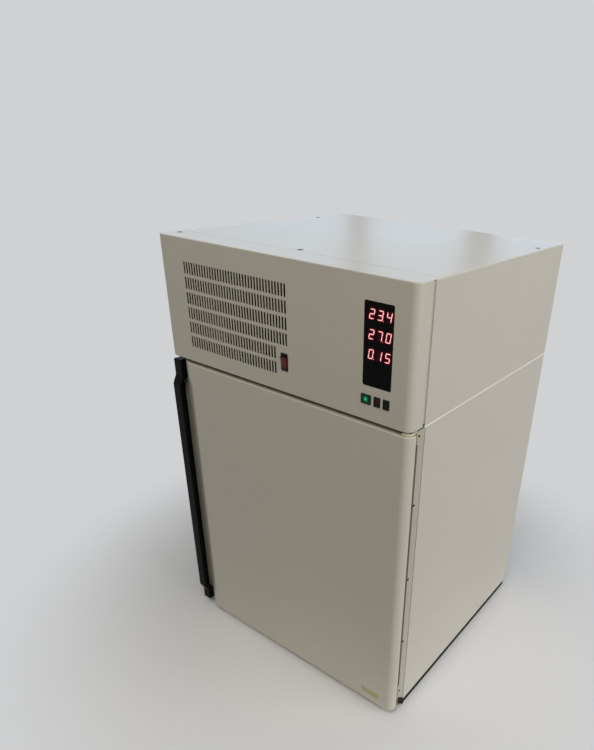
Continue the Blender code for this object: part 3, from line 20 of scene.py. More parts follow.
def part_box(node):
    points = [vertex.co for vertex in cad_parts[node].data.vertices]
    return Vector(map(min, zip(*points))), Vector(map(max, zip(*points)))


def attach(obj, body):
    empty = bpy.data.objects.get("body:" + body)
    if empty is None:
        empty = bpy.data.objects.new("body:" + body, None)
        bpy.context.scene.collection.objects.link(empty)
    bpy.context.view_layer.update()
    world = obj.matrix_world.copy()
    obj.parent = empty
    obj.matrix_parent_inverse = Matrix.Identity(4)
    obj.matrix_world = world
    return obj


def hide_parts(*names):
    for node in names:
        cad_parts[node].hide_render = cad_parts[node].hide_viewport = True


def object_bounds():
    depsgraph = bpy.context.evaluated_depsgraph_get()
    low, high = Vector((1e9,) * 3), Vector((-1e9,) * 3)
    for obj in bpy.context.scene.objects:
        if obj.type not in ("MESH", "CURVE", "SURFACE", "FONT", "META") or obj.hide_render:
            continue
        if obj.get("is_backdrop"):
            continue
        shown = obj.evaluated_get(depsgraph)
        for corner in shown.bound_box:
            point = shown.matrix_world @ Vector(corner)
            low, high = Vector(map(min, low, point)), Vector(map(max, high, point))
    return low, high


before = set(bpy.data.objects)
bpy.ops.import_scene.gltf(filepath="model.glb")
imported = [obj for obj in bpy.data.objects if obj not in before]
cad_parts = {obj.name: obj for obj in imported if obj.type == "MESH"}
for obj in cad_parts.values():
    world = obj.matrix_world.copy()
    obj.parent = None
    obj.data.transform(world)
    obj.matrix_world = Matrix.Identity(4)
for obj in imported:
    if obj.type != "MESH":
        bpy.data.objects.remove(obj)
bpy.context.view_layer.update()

# %% [markdown]
# ## Places that many pieces share
#
# A fabricator dimensions a cabinet from its outside faces. Here they are read from the boxes of the
# nodes, so that they stay right if the frame changes. MM turns millimetres into metres, and X, Y and Z
# number the axes.

# %% Shared places
MM = 0.001
X, Y, Z = 0, 1, 2
cover_low, cover_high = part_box("hood_front_cover")
door_low, door_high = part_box("door_shell")
LEFT, RIGHT = cover_low.x, cover_high.x
FRONT, BACK = cover_low.y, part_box("hood_shell")[1].y
SEAM, TOP = cover_low.z, cover_high.z
HAIR = 0.1 * MM
SAME = 0.01 * MM                 # places closer than this are the same place
print("cabinet in mm:", [round(v / MM) for v in (RIGHT - LEFT, BACK - FRONT, TOP)])

# %% [markdown]
# ## The camera
#
# The photograph was taken standing, from the right of the machine, looking down on it. A shifted lens
# keeps the picture's centre where the photographer's was.

# %% Camera
camera_data = bpy.data.cameras.new("view_of_the_photograph")
camera_data.lens = 28.725
camera_data.shift_x, camera_data.shift_y = -0.1219, 0.1176
camera_data.clip_start, camera_data.clip_end = 0.01, 100
camera = bpy.data.objects.new("camera", camera_data)
camera.location = (0.7416, -1.0118, 1.0864)
camera.rotation_euler = [math.radians(a) for a in (61.338, -2.655, 34.982)]
bpy.context.scene.collection.objects.link(camera)
bpy.context.scene.camera = camera
bpy.context.scene.view_settings.view_transform = "Standard"
print("camera stands", round((camera.location - Vector((0, 0, TOP / 2))).length, 2), "m away")

# %% [markdown]
# ## Modelling by hand, in code
#
# Each new piece starts as a primitive and is shaped in edit mode. Operators act on whatever is selected,
# so the helpers below always clear the selection first, and then pick edges or faces by a test on their
# place, as a modeller does with the mouse.

# %% Start a block
def clear_selection():
    if bpy.context.object and bpy.context.object.mode != "OBJECT":
        bpy.ops.object.mode_set(mode="OBJECT")
    bpy.ops.object.select_all(action="DESELECT")


def settle(name):
    """Name the new primitive and move its place and size into its mesh."""
    made = bpy.context.object
    made.name = made.data.name = name
    bpy.ops.object.transform_apply(location=True, rotation=True, scale=True)
    return made


def block(name, low, high):
    """A cube between two corners."""
    clear_selection()
    low, high = Vector(low), Vector(high)
    bpy.ops.mesh.primitive_cube_add(size=1, location=(low + high) / 2, scale=high - low)
    return settle(name)


def disc(name, centre, radius, depth, axis=Z, sides=24):
    """A cylinder along one axis, with its middle at the centre."""
    clear_selection()
    turn = ((0, math.pi / 2, 0), (math.pi / 2, 0, 0), (0, 0, 0))[axis]
    bpy.ops.mesh.primitive_cylinder_add(vertices=sides, radius=radius, depth=depth,
                                        location=centre, rotation=turn)
    return settle(name)


print("helpers: block, disc")

# %% Pick by a test
def make_active(piece):
    """Select one object and nothing else, in object mode."""
    clear_selection()
    bpy.context.view_layer.objects.active = piece
    piece.select_set(True)


def edit(piece):
    make_active(piece)
    bpy.ops.object.mode_set(mode="EDIT")
    bpy.ops.mesh.select_all(action="SELECT")


def pick(piece, kind, test):
    """In edit mode, select only the verts, edges or faces that pass the test."""
    if bpy.context.object is not piece or piece.mode != "EDIT":
        edit(piece)
    bpy.ops.mesh.select_mode(type={"verts": "VERT", "edges": "EDGE", "faces": "FACE"}[kind])
    bpy.ops.mesh.select_all(action="DESELECT")
    shape = bmesh.from_edit_mesh(piece.data)
    chosen = [item for item in getattr(shape, kind) if test(item)]
    for item in chosen:
        item.select_set(True)
    shape.select_flush_mode()
    bmesh.update_edit_mesh(piece.data)
    return len(chosen)


def at(item, axis, value):
    """True if all corners of an edge or a face have this value on the axis."""
    return all(abs(v.co[axis] - value) < SAME for v in item.verts)


def along(edge, axis):
    """True if a box's edge runs along the axis."""
    return abs(edge.verts[0].co[axis] - edge.verts[1].co[axis]) > HAIR


def middle(item):
    return sum((v.co for v in item.verts), Vector()) / len(item.verts)


print("helpers: edit, pick, at, along, middle")

# %% Shape what is picked
def finish_edit():
    bpy.ops.object.mode_set(mode="OBJECT")


def round_edges(piece, test, radius, segments):
    """Bevel the edges that pass a test, to a true round."""
    if pick(piece, "edges", test):
        bpy.ops.mesh.bevel(offset=radius, segments=segments, affect="EDGES", profile=0.5)
    finish_edit()


def move(piece, test, x=0, y=0, z=0):
    """Move the corners that pass a test."""
    if pick(piece, "verts", test):
        bpy.ops.transform.translate(value=(x, y, z))


def open_up(piece, test):
    """Delete the faces that pass a test."""
    pick(piece, "faces", test)
    bpy.ops.mesh.delete(type="FACE")


def slice_at(piece, axis, value):
    """Cut every face where a plane across the axis meets it."""
    edit(piece)
    normal = [float(number == axis) for number in (X, Y, Z)]
    bpy.ops.mesh.bisect(plane_co=[value * n for n in normal], plane_no=normal)


print("helpers: round_edges, move, open_up, slice_at")

# %% Modifiers that are applied
def modify(piece, kind, **settings):
    """Add one modifier and apply it."""
    make_active(piece)
    modifier = piece.modifiers.new(kind.lower(), kind)
    for key, value in settings.items():
        setattr(modifier, key, value)
    bpy.ops.object.modifier_apply(modifier=modifier.name)


def thicken(piece, sheet):
    """Turn an outer skin into sheet metal of this thickness."""
    modify(piece, "SOLIDIFY", thickness=sheet, offset=-1, use_even_offset=True)


def soften(piece, radius, segments=2, angle=50):
    """Bevel every edge that is sharper than the angle."""
    modify(piece, "BEVEL", width=radius, segments=segments, limit_method="ANGLE",
           angle_limit=math.radians(angle))


def combine(piece, other, operation):
    modify(piece, "BOOLEAN", object=other, operation=operation, solver="EXACT")
    bpy.data.objects.remove(other)


def cut(piece, cutter):
    """Take one shape out of another, and throw the cutter away."""
    combine(piece, cutter, "DIFFERENCE")


def unite(piece, other):
    """Add one shape to another."""
    combine(piece, other, "UNION")


print("helpers: modify, thicken, soften, cut, unite")

# %% Joining and copying
def join(pieces, name):
    """Make several shapes one object."""
    clear_selection()
    for piece in pieces:
        piece.select_set(True)
    bpy.context.view_layer.objects.active = pieces[0]
    if len(pieces) > 1:
        bpy.ops.object.join()
    made = bpy.context.object
    made.name = made.data.name = name
    return made


def copy_to(original, offset):
    """A copy with its own mesh, moved by an offset."""
    clear_selection()
    made = original.copy()
    made.data = original.data.copy()
    bpy.context.scene.collection.objects.link(made)
    made.data.transform(Matrix.Translation(offset))
    return made


print("helpers: join, copy_to")

# %% [markdown]
# ## Hand a piece over
#
# A finished piece is carried by a moving body, and the solids of the frame that it stands for are
# hidden. One helper does both, after it has shaded the piece smooth across its soft bends and given it
# its material.

# %% Hand a piece over
made_pieces = []


def smooth(piece, angle):
    """Shade smooth across soft bends, and keep flat faces flat."""
    make_active(piece)
    bpy.ops.object.shade_smooth_by_angle(angle=math.radians(angle))
    modify(piece, "WEIGHTED_NORMAL", keep_sharp=True, weight=50)


def hand_over(piece, material, replaces=None, body="cabinet", angle=35):
    if angle:
        smooth(piece, angle)
    piece.data.materials.clear()
    piece.data.materials.append(material)
    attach(piece, body)
    if replaces:
        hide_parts(replaces)
    made_pieces.append(piece.name)
    print(piece.name, "rides on", body, "-", len(piece.data.polygons), "faces")


print("helper: hand_over")

# %% [markdown]
# ## Effects shared by many finishes
#
# Powder coating has a fine orange peel, every large panel is a little uneven in tone, and rolled metal
# has a grain. Each effect is built once as a shader node group with named sockets, and every material
# places it with its own values. The patterns read object coordinates, which are metres here.

# %% Nodes and their sockets
def plug(tree, sockets, values):
    """Give sockets constants, or link other sockets to them; underscores stand for spaces."""
    for key, value in values.items():
        socket = sockets[key.replace("_", " ") if isinstance(key, str) else key]
        if isinstance(value, bpy.types.NodeSocket):
            tree.links.new(value, socket)
        else:
            socket.default_value = value


def add_node(tree, kind, settings, values):
    """A shader node with its settings and inputs, which comes back as its outputs."""
    node = tree.nodes.new("ShaderNode" + kind)
    for key, value in settings.items():
        setattr(node, key, value)
    plug(tree, node.inputs, values)
    return node.outputs


def maths(tree, operation, *values, clamp=False):
    """A math node; each value is a socket or a number."""
    settings = {"operation": operation, "use_clamp": clamp}
    return add_node(tree, "Math", settings, dict(enumerate(values)))[0]


def mix_colours(tree, factor, first, second):
    """From the first colour to the second; each value is a socket or a constant."""
    values = {"Factor": factor, "A": first, "B": second}
    return add_node(tree, "Mix", {"data_type": "RGBA"}, values)["Result"]


print("helpers: plug, add_node, maths, mix_colours")

# %% Patterns by place
def object_place(tree):
    return add_node(tree, "TexCoord", {}, {})["Object"]


def noise(tree, size, detail, stretch=None):
    """Noise on object coordinates, with patches about as large as the size socket says."""
    place = object_place(tree)
    if stretch is not None:
        place = add_node(tree, "VectorMath", {"operation": "MULTIPLY"}, {0: place, 1: stretch})["Vector"]
    values = {"Vector": place, "Scale": maths(tree, "DIVIDE", 1.0, size), "Detail": detail}
    return add_node(tree, "TexNoise", {}, values)["Fac"]


def bump(tree, height, distance):
    """A normal that leans as the height says."""
    return add_node(tree, "Bump", {}, {"Height": height, "Distance": distance})["Normal"]


def away_from_plane(tree, axis, value):
    """How far the shaded point lies from a plane across the axis."""
    place = add_node(tree, "SeparateXYZ", {}, {0: object_place(tree)})
    return maths(tree, "ABSOLUTE", maths(tree, "SUBTRACT", place[axis], value))


def away_from_point(tree, point):
    values = {0: object_place(tree), 1: point}
    return add_node(tree, "VectorMath", {"operation": "DISTANCE"}, values)["Value"]


def fade(tree, value, near, far):
    """1 up to the near distance, falling softly to 0 at the far one."""
    values = {"Value": value, "From Min": near, "From Max": far, "To Min": 1.0, "To Max": 0.0}
    return add_node(tree, "MapRange", {"interpolation_type": "SMOOTHSTEP"}, values)["Result"]


print("helpers: noise, bump, away_from_plane, away_from_point, fade")

# %% Group: fine bumps
def start_group(name, inputs, outputs):
    """A shader node group, whose sockets are given by name and kind."""
    group = bpy.data.node_groups.new(name, "ShaderNodeTree")
    for direction, sockets in (("INPUT", inputs), ("OUTPUT", outputs)):
        for label, kind in sockets.items():
            group.interface.new_socket(label, in_out=direction, socket_type="NodeSocket" + kind)
    return group, group.nodes.new("NodeGroupInput").outputs, group.nodes.new("NodeGroupOutput").inputs


def build_bumps():
    """Orange peel or moulding texture, as a normal."""
    group, given, result = start_group("fine bumps", {"Size": "Float", "Height": "Float"},
                                       {"Normal": "Vector"})
    plug(group, result, {"Normal": bump(group, noise(group, given["Size"], 2.0), given["Height"])})
    return group


BUMPS = build_bumps()
print("group:", BUMPS.name)

# %% Group: uneven tone
FINE_SIZE = 0.08                 # of the broad patches' size
BROAD_SHARE = 0.75
CONTRAST = 1.6


def build_tone():
    """Two colours mixed in soft patches, with a roughness that drifts the same way."""
    group, given, result = start_group(
        "uneven tone", {"Light": "Color", "Dark": "Color", "Size": "Float", "Low Roughness": "Float",
                        "High Roughness": "Float"}, {"Color": "Color", "Roughness": "Float"})
    broad = noise(group, given["Size"], 2.0)
    fine = noise(group, maths(group, "MULTIPLY", given["Size"], FINE_SIZE), 4.0)
    both = maths(group, "ADD", maths(group, "MULTIPLY", broad, BROAD_SHARE),
                 maths(group, "MULTIPLY", fine, 1 - BROAD_SHARE))
    spread = maths(group, "MULTIPLY_ADD", both, CONTRAST, 0.5 - CONTRAST / 2, clamp=True)
    span = maths(group, "SUBTRACT", given["High Roughness"], given["Low Roughness"])
    plug(group, result, {
        "Color": mix_colours(group, spread, given["Dark"], given["Light"]),
        "Roughness": maths(group, "MULTIPLY_ADD", spread, span, given["Low Roughness"])})
    return group


TONE = build_tone()
print("group:", TONE.name)

# %% Group: metal grain
def build_grain():
    """The fine scratches of brushed or rolled metal: noise squeezed across one direction."""
    group, given, result = start_group(
        "metal grain", {"Stretch": "Vector", "Size": "Float", "Height": "Float"},
        {"Mask": "Float", "Normal": "Vector"})
    lines = noise(group, given["Size"], 3.0, given["Stretch"])
    plug(group, result, {"Mask": lines, "Normal": bump(group, lines, given["Height"])})
    return group


GRAIN = build_grain()
print("group:", GRAIN.name)

# %% [markdown]
# ## Finishes
#
# A coated or moulded surface is the uneven tone plus the fine bumps. A metal surface is the grain, which
# breaks up both its roughness and its normal. Colours are written as the eye sees them, in 0 to 255, and
# turned into the linear light that shaders work in.

# %% Colours and coated surfaces
def colour(red, green, blue):
    """An 8-bit screen colour as linear light."""
    return tuple((v / 255 / 12.92) if v / 255 <= 0.04045 else ((v / 255 + 0.055) / 1.055) ** 2.4
                 for v in (red, green, blue)) + (1.0,)


def new_material(name, **constants):
    """A material, its node tree, and the inputs of its shader, some with constants."""
    material = bpy.data.materials.new(name)
    material.use_nodes = True
    sockets = material.node_tree.nodes["Principled BSDF"].inputs
    plug(material.node_tree, sockets, constants)
    return material, material.node_tree, sockets


def place_group(tree, group, **values):
    """Put a group in a material; it comes back as its outputs."""
    return add_node(tree, "Group", {"node_tree": group}, values)


def add_bumps(tree, sockets, size, height):
    """Fine bumps, measured in millimetres."""
    bumps = place_group(tree, BUMPS, Size=size * MM, Height=height * MM)
    plug(tree, sockets, {"Normal": bumps["Normal"]})


print("helpers: colour, new_material, place_group, add_bumps")

# %% Coated surfaces
DRIFT = 0.06                     # how far a coat's roughness goes up and down


def coated(name, light, dark, roughness, bump_size, bump_height, tone_size=0.25, gloss=0.5):
    """Paint or plastic. Bumps are in millimetres, and gloss is the strength of its reflections."""
    material, tree, sockets = new_material(name, Specular_IOR_Level=gloss)
    tone = place_group(tree, TONE, Light=colour(*light), Dark=colour(*dark), Size=tone_size,
                       Low_Roughness=roughness - DRIFT / 2, High_Roughness=roughness + DRIFT / 2)
    plug(tree, sockets, {"Base Color": tone["Color"], "Roughness": tone["Roughness"]})
    add_bumps(tree, sockets, bump_size, bump_height)
    return material


paint = coated("light grey powder coat", (206, 201, 188), (199, 194, 180), 0.30, 1.6, 0.008, 0.35)
# A darker copy of the light grey powder coat: painted shade for the recessed strip of the front frame and
# the gaps beside the hood.
shade_darkened_paint = coated("light grey paint with painted shade", (184, 179, 166), (177, 171, 158), 0.34, 1.6, 0.008, 0.35)
black_paint = coated("black paint", (13, 13, 12), (8, 8, 8), 0.45, 1.2, 0.02, gloss=0.06)
handle_plastic = coated("handle plastic", (13, 13, 14), (8, 8, 9), 0.42, 0.7, 0.03, 0.06, gloss=0.06)
black_plastic = coated("black plastic", (18, 18, 19), (12, 12, 13), 0.35, 0.8, 0.02, 0.05, gloss=0.15)
grey_plastic = coated("grey plastic", (72, 73, 76), (60, 61, 64), 0.45, 0.8, 0.02, 0.05)
cream_plastic = coated("cream hinge plastic", (222, 214, 190), (208, 199, 172), 0.4, 0.8, 0.02, 0.03)
foam = coated("insulating foam", (226, 212, 168), (206, 190, 146), 0.9, 2.5, 0.25, 0.03)
rubber = coated("gasket rubber", (38, 37, 35), (28, 27, 26), 0.6, 1.0, 0.03, 0.04)
board = coated("green circuit board", (26, 92, 52), (18, 70, 40), 0.4, 0.6, 0.02, 0.03)
print("coated finishes: 10")

# %% Metals
GRAIN_DRIFT = 0.12               # how far the grain takes the roughness up and down
GRAIN_HEIGHT = 0.004 * MM
PATCHES = 0.12
SHADE = 0.86                     # the darker patches' share of the light


def metal(name, light, roughness, stretch, size):
    """Bare metal with a grain along the axis whose stretch is smallest."""
    material, tree, sockets = new_material(name, Metallic=1.0)
    light = colour(*light)
    grain = place_group(tree, GRAIN, Stretch=stretch, Size=size, Height=GRAIN_HEIGHT)
    dark = [v * SHADE for v in light[:3]] + [1.0]
    tone = place_group(tree, TONE, Light=light, Dark=dark, Size=PATCHES)
    rough = maths(tree, "MULTIPLY_ADD", grain["Mask"], GRAIN_DRIFT, roughness - GRAIN_DRIFT / 2)
    plug(tree, sockets, {"Base Color": tone["Color"], "Roughness": rough, "Normal": grain["Normal"]})
    return material


stainless = metal("brushed stainless steel", (196, 196, 194), 0.34, (1, 1, 30), 0.03)
aluminium = metal("milled aluminium", (205, 206, 209), 0.36, (12, 12, 1), 0.02)
seam_metal = metal("bright seam aluminium", (246, 245, 238), 0.55, (1, 1, 30), 0.03)
steel = metal("ground steel", (178, 180, 184), 0.24, (30, 30, 1), 0.02)
dark_metal = metal("black anodised aluminium", (46, 46, 48), 0.45, (12, 12, 1), 0.02)
print("metals: 5")

# %% [markdown]
# ## The frame's own pieces
#
# Most of the inside keeps the engineer's solids, because their shape is right. They come in as loose
# triangles with knife-sharp edges, and real edges catch light. Modifiers that stay live merge the
# triangles, break the edges with a small bevel, and smooth the round parts, without touching the meshes.

# %% Smooth by angle, as a modifier
def build_softener():
    tree = bpy.data.node_groups.new("smooth by angle", "GeometryNodeTree")
    for direction in ("INPUT", "OUTPUT"):
        tree.interface.new_socket("Geometry", in_out=direction, socket_type="NodeSocketGeometry")
    given, result = tree.nodes.new("NodeGroupInput"), tree.nodes.new("NodeGroupOutput")
    faces = tree.nodes.new("GeometryNodeSetShadeSmooth")
    faces.domain = "FACE"
    sharp = tree.nodes.new("GeometryNodeSetShadeSmooth")
    sharp.domain = "EDGE"
    sharp.inputs["Shade Smooth"].default_value = False
    angle = tree.nodes.new("GeometryNodeInputMeshEdgeAngle")
    wide = tree.nodes.new("FunctionNodeCompare")
    wide.operation = "GREATER_THAN"
    wide.inputs[1].default_value = math.radians(35)
    tree.links.new(angle.outputs["Unsigned Angle"], wide.inputs[0])
    tree.links.new(given.outputs[0], faces.inputs["Geometry"])
    tree.links.new(faces.outputs[0], sharp.inputs["Geometry"])
    tree.links.new(wide.outputs[0], sharp.inputs["Selection"])
    tree.links.new(sharp.outputs[0], result.inputs[0])
    return tree


SOFTENER = build_softener()
print("modifier group:", SOFTENER.name)

# %% Dress the frame's nodes
def dress(material, bevel, names):
    """Material and live modifiers for some nodes; the bevel is in millimetres."""
    for name in names.split():
        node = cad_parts[name]
        for place in node.material_slots:
            place.material = material
        node.modifiers.new("weld", "WELD").merge_threshold = SAME
        if bevel:
            edges = node.modifiers.new("bevel", "BEVEL")
            edges.width, edges.segments = bevel * MM, 2
            edges.limit_method, edges.angle_limit = "ANGLE", math.radians(50)
        node.modifiers.new("smooth", "NODES").node_group = SOFTENER
        node.modifiers.new("flat", "WEIGHTED_NORMAL").keep_sharp = True


dress(paint, 0.25, "side_panel_left side_panel_right back_panel hood_back_panel gate_housing")
# The front frame's strip takes the darker copy of the paint, as painted shade.
dress(shade_darkened_paint, 0.25, "front_frame")
dress(black_paint, 0.5, "hood_front_frame")
dress(foam, 0, "cabinet_insulation door_insulation")
dress(stainless, 0.3, "inner_chamber door_liner water_tray stacker_1 stacker_2 stacker_3 stacker_4")
dress(seam_metal, 0.4, "deck_plate")
dress(black_plastic, 0.5, "mains_inlet button_block cooling_fan_housing chamber_fan_housing "
      "carousel_motor lift_motor turret_motor gate_motor")
dress(grey_plastic, 0.3, "cooling_fan_rotor chamber_fan_rotor")
dress(board, 0, "display_board control_board")
dress(dark_metal, 0.2, "heat_exchanger")
dress(aluminium, 0.4, "power_supply turntable carousel_core lift_column lift_carriage turret shovel "
      "gate_door transfer_station")
dress(steel, 0.3, "hinge_pin_top hinge_pin_bottom guide_rod_front guide_rod_back lift_screw mid_slide")
dress(rubber, 1.0, "door_gasket")
print("dressed nodes:", sum(1 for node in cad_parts.values() if node.modifiers))

# %% [markdown]
# ## The hood's front cover
#
# On the real machine this is one sheet of steel, folded into a shallow pan with round upright corners, a
# lap that runs back over the top, and 214 punched slots. A sheet is easiest made as its outer skin: a
# block whose edges are bevelled and whose back is open gets its thickness from Solidify at the end. One
# slot cutter is modelled, and arrays repeat it into rows before a single Boolean takes them all out.

# %% Sizes of the cover
COVER_DEPTH = 36 * MM
COVER_LAP = 24 * MM
COVER_CORNER = 15 * MM
COVER_SHEET = 0.8 * MM
FOLD = 1.6 * MM                  # outer radius of a folded edge
TOP_SCREWS = [(295.5, 73.6), (18, 440), (17, 40), (576.5, 451)]      # millimetres from left and front
TOP_RIVETS = [(520, 530), (524, 396), (423, 395)]
SCREW_HOLE = 5.9 * MM
RIVET_HOLE = 2.3 * MM
VENT_LEFT = LEFT + 69.6 * MM
VENT_TOP = SEAM + 194.4 * MM
VENT_PITCH = 7.05 * MM
VENT_SLOT = Vector((4.1, 22.3)) * MM
VENT_ROW_PITCH = 28.22 * MM
VENT_ROWS = ((0, 4, 37), (4, 2, 33))       # first row, rows, slots in a row
WINDOW = Vector((56.6, 137)) * MM
WINDOW_X = RIGHT - 41.9 * MM - WINDOW.x / 2
WINDOW_Z = SEAM + 60.7 * MM + WINDOW.y / 2
WINDOW_CORNER = 3 * MM
ROCKER_X, ROCKER_Z = LEFT + 320 * MM, SEAM + 57.6 * MM
ROCKER = Vector((16, 32.2)) * MM
BUTTON_Z = SEAM + 37.35 * MM
BUTTON_HEIGHT = 16.6 * MM
BUTTONS = {"green": (90.0 * MM, 20.0 * MM), "dark_red": (67.8 * MM, 12.5 * MM),
           "black": (49.7 * MM, 12.3 * MM)}     # centre from the right side, width
SMALL_CORNER = 0.8 * MM
BUTTON_GAP = 0.6 * MM            # a button's hole is this much larger than the button
print("slots:", sum(rows * slots for first, rows, slots in VENT_ROWS))

# %% Cutters for slots and holes
def on_top(places):
    """Places on the top sheet, from millimetres off the left and the front."""
    return [(LEFT + x * MM, FRONT + y * MM, TOP) for x, y in places]


def drill(piece, places, radius):
    """Round holes down through the top sheet."""
    cut(piece, join([disc("hole", place, radius, 8 * MM) for place in on_top(places)], "drills"))


def slab(name, x, z, width, height, front, back, corner, soft=0.0, segments=5):
    """A slab facing the front, with round corners and, if soft, a rounded front edge."""
    made = block(name, (x - width / 2, front, z - height / 2), (x + width / 2, back, z + height / 2))
    round_edges(made, lambda e: along(e, Y), corner, segments)
    if soft:
        round_edges(made, lambda e: at(e, Y, front), soft, 3)
    return made


def hole(x, z, width, height, corner):
    """A cutter through the front sheet, with round corners."""
    return slab("hole", x, z, width, height, FRONT - 5 * MM, FRONT + 6 * MM, corner, segments=3)


def slot_rows(first, rows, slots):
    """One slot, repeated along X and then down."""
    cutter = hole(VENT_LEFT + VENT_SLOT.x / 2, VENT_TOP - first * VENT_ROW_PITCH - VENT_SLOT.y / 2,
                  VENT_SLOT.x, VENT_SLOT.y, 0.9 * MM)
    for count, step in ((slots, (VENT_PITCH, 0, 0)), (rows, (0, 0, -VENT_ROW_PITCH))):
        modify(cutter, "ARRAY", count=count, use_relative_offset=False, use_constant_offset=True,
               constant_offset_displace=step)
    return cutter


print("helpers: on_top, drill, slab, hole, slot_rows")

# %% Fold and punch the cover
def make_cover():
    back = FRONT + COVER_DEPTH
    cover = block("hood_cover_pressing", (LEFT, FRONT, SEAM), (RIGHT, back, TOP))
    round_edges(cover, lambda e: at(e, Y, FRONT) and not along(e, X), COVER_CORNER, 10)
    round_edges(cover, lambda e: (at(e, Z, TOP) or at(e, Z, SEAM)) and not at(e, Y, back), FOLD, 4)
    open_up(cover, lambda f: at(f, Y, back))
    pick(cover, "edges", lambda e: at(e, Y, back) and at(e, Z, TOP))
    bpy.ops.mesh.extrude_region_move(TRANSFORM_OT_translate={"value": (0, COVER_LAP, 0)})
    thicken(cover, COVER_SHEET)
    cutters = [slot_rows(*rows) for rows in VENT_ROWS]
    cutters += [hole(WINDOW_X, WINDOW_Z, WINDOW.x, WINDOW.y, WINDOW_CORNER),
                hole(ROCKER_X, ROCKER_Z, ROCKER.x - 1 * MM, ROCKER.y - 2 * MM, SMALL_CORNER)]
    cutters += [hole(RIGHT - from_right, BUTTON_Z, width + BUTTON_GAP, BUTTON_HEIGHT + BUTTON_GAP,
                     SMALL_CORNER) for from_right, width in BUTTONS.values()]
    cut(cover, join(cutters, "punches"))
    drill(cover, TOP_SCREWS[2:3], SCREW_HOLE)
    return cover


hand_over(make_cover(), paint, "hood_front_cover")

# %% [markdown]
# ## The hood's wrap
#
# Sides and top are one sheet, bent over at two soft corners. Its sides begin a little behind the front
# cover, which leaves a gap down each side, and its top begins where the cover's lap ends. A strip of the
# darker paint lines each gap, as painted shade.

# %% Wrap the hood
SIDE_FRONT = FRONT + COVER_DEPTH + 7 * MM
TOP_FRONT = FRONT + COVER_DEPTH + COVER_LAP + 1 * MM
WRAP_SHEET = 1.5 * MM
WRAP_BEND = 2.4 * MM


def make_wrap():
    wrap = block("hood_wrap", (LEFT, SIDE_FRONT, SEAM), (RIGHT, BACK, TOP))
    round_edges(wrap, lambda e: at(e, Z, TOP) and along(e, Y), WRAP_BEND, 5)
    slice_at(wrap, Y, TOP_FRONT)
    open_up(wrap, lambda f: at(f, Z, SEAM) or at(f, Y, SIDE_FRONT) or at(f, Y, BACK)
            or (middle(f).y < TOP_FRONT and middle(f).z > TOP - HAIR))
    thicken(wrap, WRAP_SHEET)
    drill(wrap, TOP_SCREWS[:2] + TOP_SCREWS[3:], SCREW_HOLE)
    drill(wrap, TOP_RIVETS, RIVET_HOLE)
    return wrap


hand_over(make_wrap(), paint, "hood_shell")

# %% Line the gaps at the sides
LINING = 0.5 * MM
LINING_OVERLAP = 4 * MM          # how far a strip reaches under the sheets beside it


def make_linings():
    """A painted strip on each side of the frame behind the cover, with soft edges."""
    low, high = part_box("hood_front_frame")
    strips = []
    for x_low, x_high in ((low.x - LINING, low.x), (high.x, high.x + LINING)):
        strips.append(block("strip", (x_low, FRONT + COVER_DEPTH - LINING_OVERLAP, SEAM + 1 * MM),
                            (x_high, SIDE_FRONT + LINING_OVERLAP, TOP - 1.7 * MM)))
        soften(strips[-1], 0.2 * MM)
    return join(strips, "gap_linings")


# The strips take the darker copy of the paint, as painted shade in the gaps.
hand_over(make_linings(), shade_darkened_paint)

# %% [markdown]
# ## The door's outer pan
#
# The door is a pan too. Its right edge is round, its top and bottom are folded, and on the left the flat
# front rolls back softly to a flange that carries the handle. The roll is a half cosine: the block is
# sliced into stations with bisect, and each station's front is pushed back by its depth. Where the two
# ends of the handle sit, the stations are drawn together a little, so that the face reaches further.

# %% Sizes of the door
DOOR_SHEET = 1.5 * MM
DOOR_CORNER = 15 * MM
DOOR_FOLD = 2.2 * MM
DOOR_BACK = door_high.y - 1.2 * MM
FACE_LEFT = LEFT + 58 * MM
ROLL_RUN = 48 * MM
FLANGE_DEPTH = 18.5 * MM
STATIONS = 14
END_FACE_LEFT = LEFT + 53 * MM
END_RUN = 43 * MM
RETURN_FLANGE = 26 * MM
handle_low, handle_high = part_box("door_handle")
BENDS = [handle_low.z + 28 * MM, handle_low.z + 46 * MM,      # where the handle bends
         handle_high.z - 53 * MM, handle_high.z - 35 * MM]
print("the handle bends at:", [round(z / MM) for z in BENDS], "mm")

# %% Fold the door
def roll_back(pan, left):
    """Slice the front into stations and push each one back by its depth."""
    depths = {left: FLANGE_DEPTH}
    for i in range(STATIONS + 1):
        x = FACE_LEFT - ROLL_RUN * i / STATIONS
        depths[x] = FLANGE_DEPTH * (1 - math.cos(math.pi * i / STATIONS)) / 2
        slice_at(pan, X, x)
    for x, depth in depths.items():
        move(pan, lambda v: abs(v.co.x - x) < HAIR and v.co.y < FRONT + 1.5 * DOOR_FOLD, y=depth)


def draw_ends_together(pan):
    """Narrow the roll above and below the grip."""
    for i in range(STATIONS):
        x = FACE_LEFT - ROLL_RUN * i / STATIONS
        narrow = END_FACE_LEFT - END_RUN * i / STATIONS
        move(pan, lambda v: abs(v.co.x - x) < SAME
             and not BENDS[0] + HAIR <= v.co.z <= BENDS[3] - HAIR, x=narrow - x)


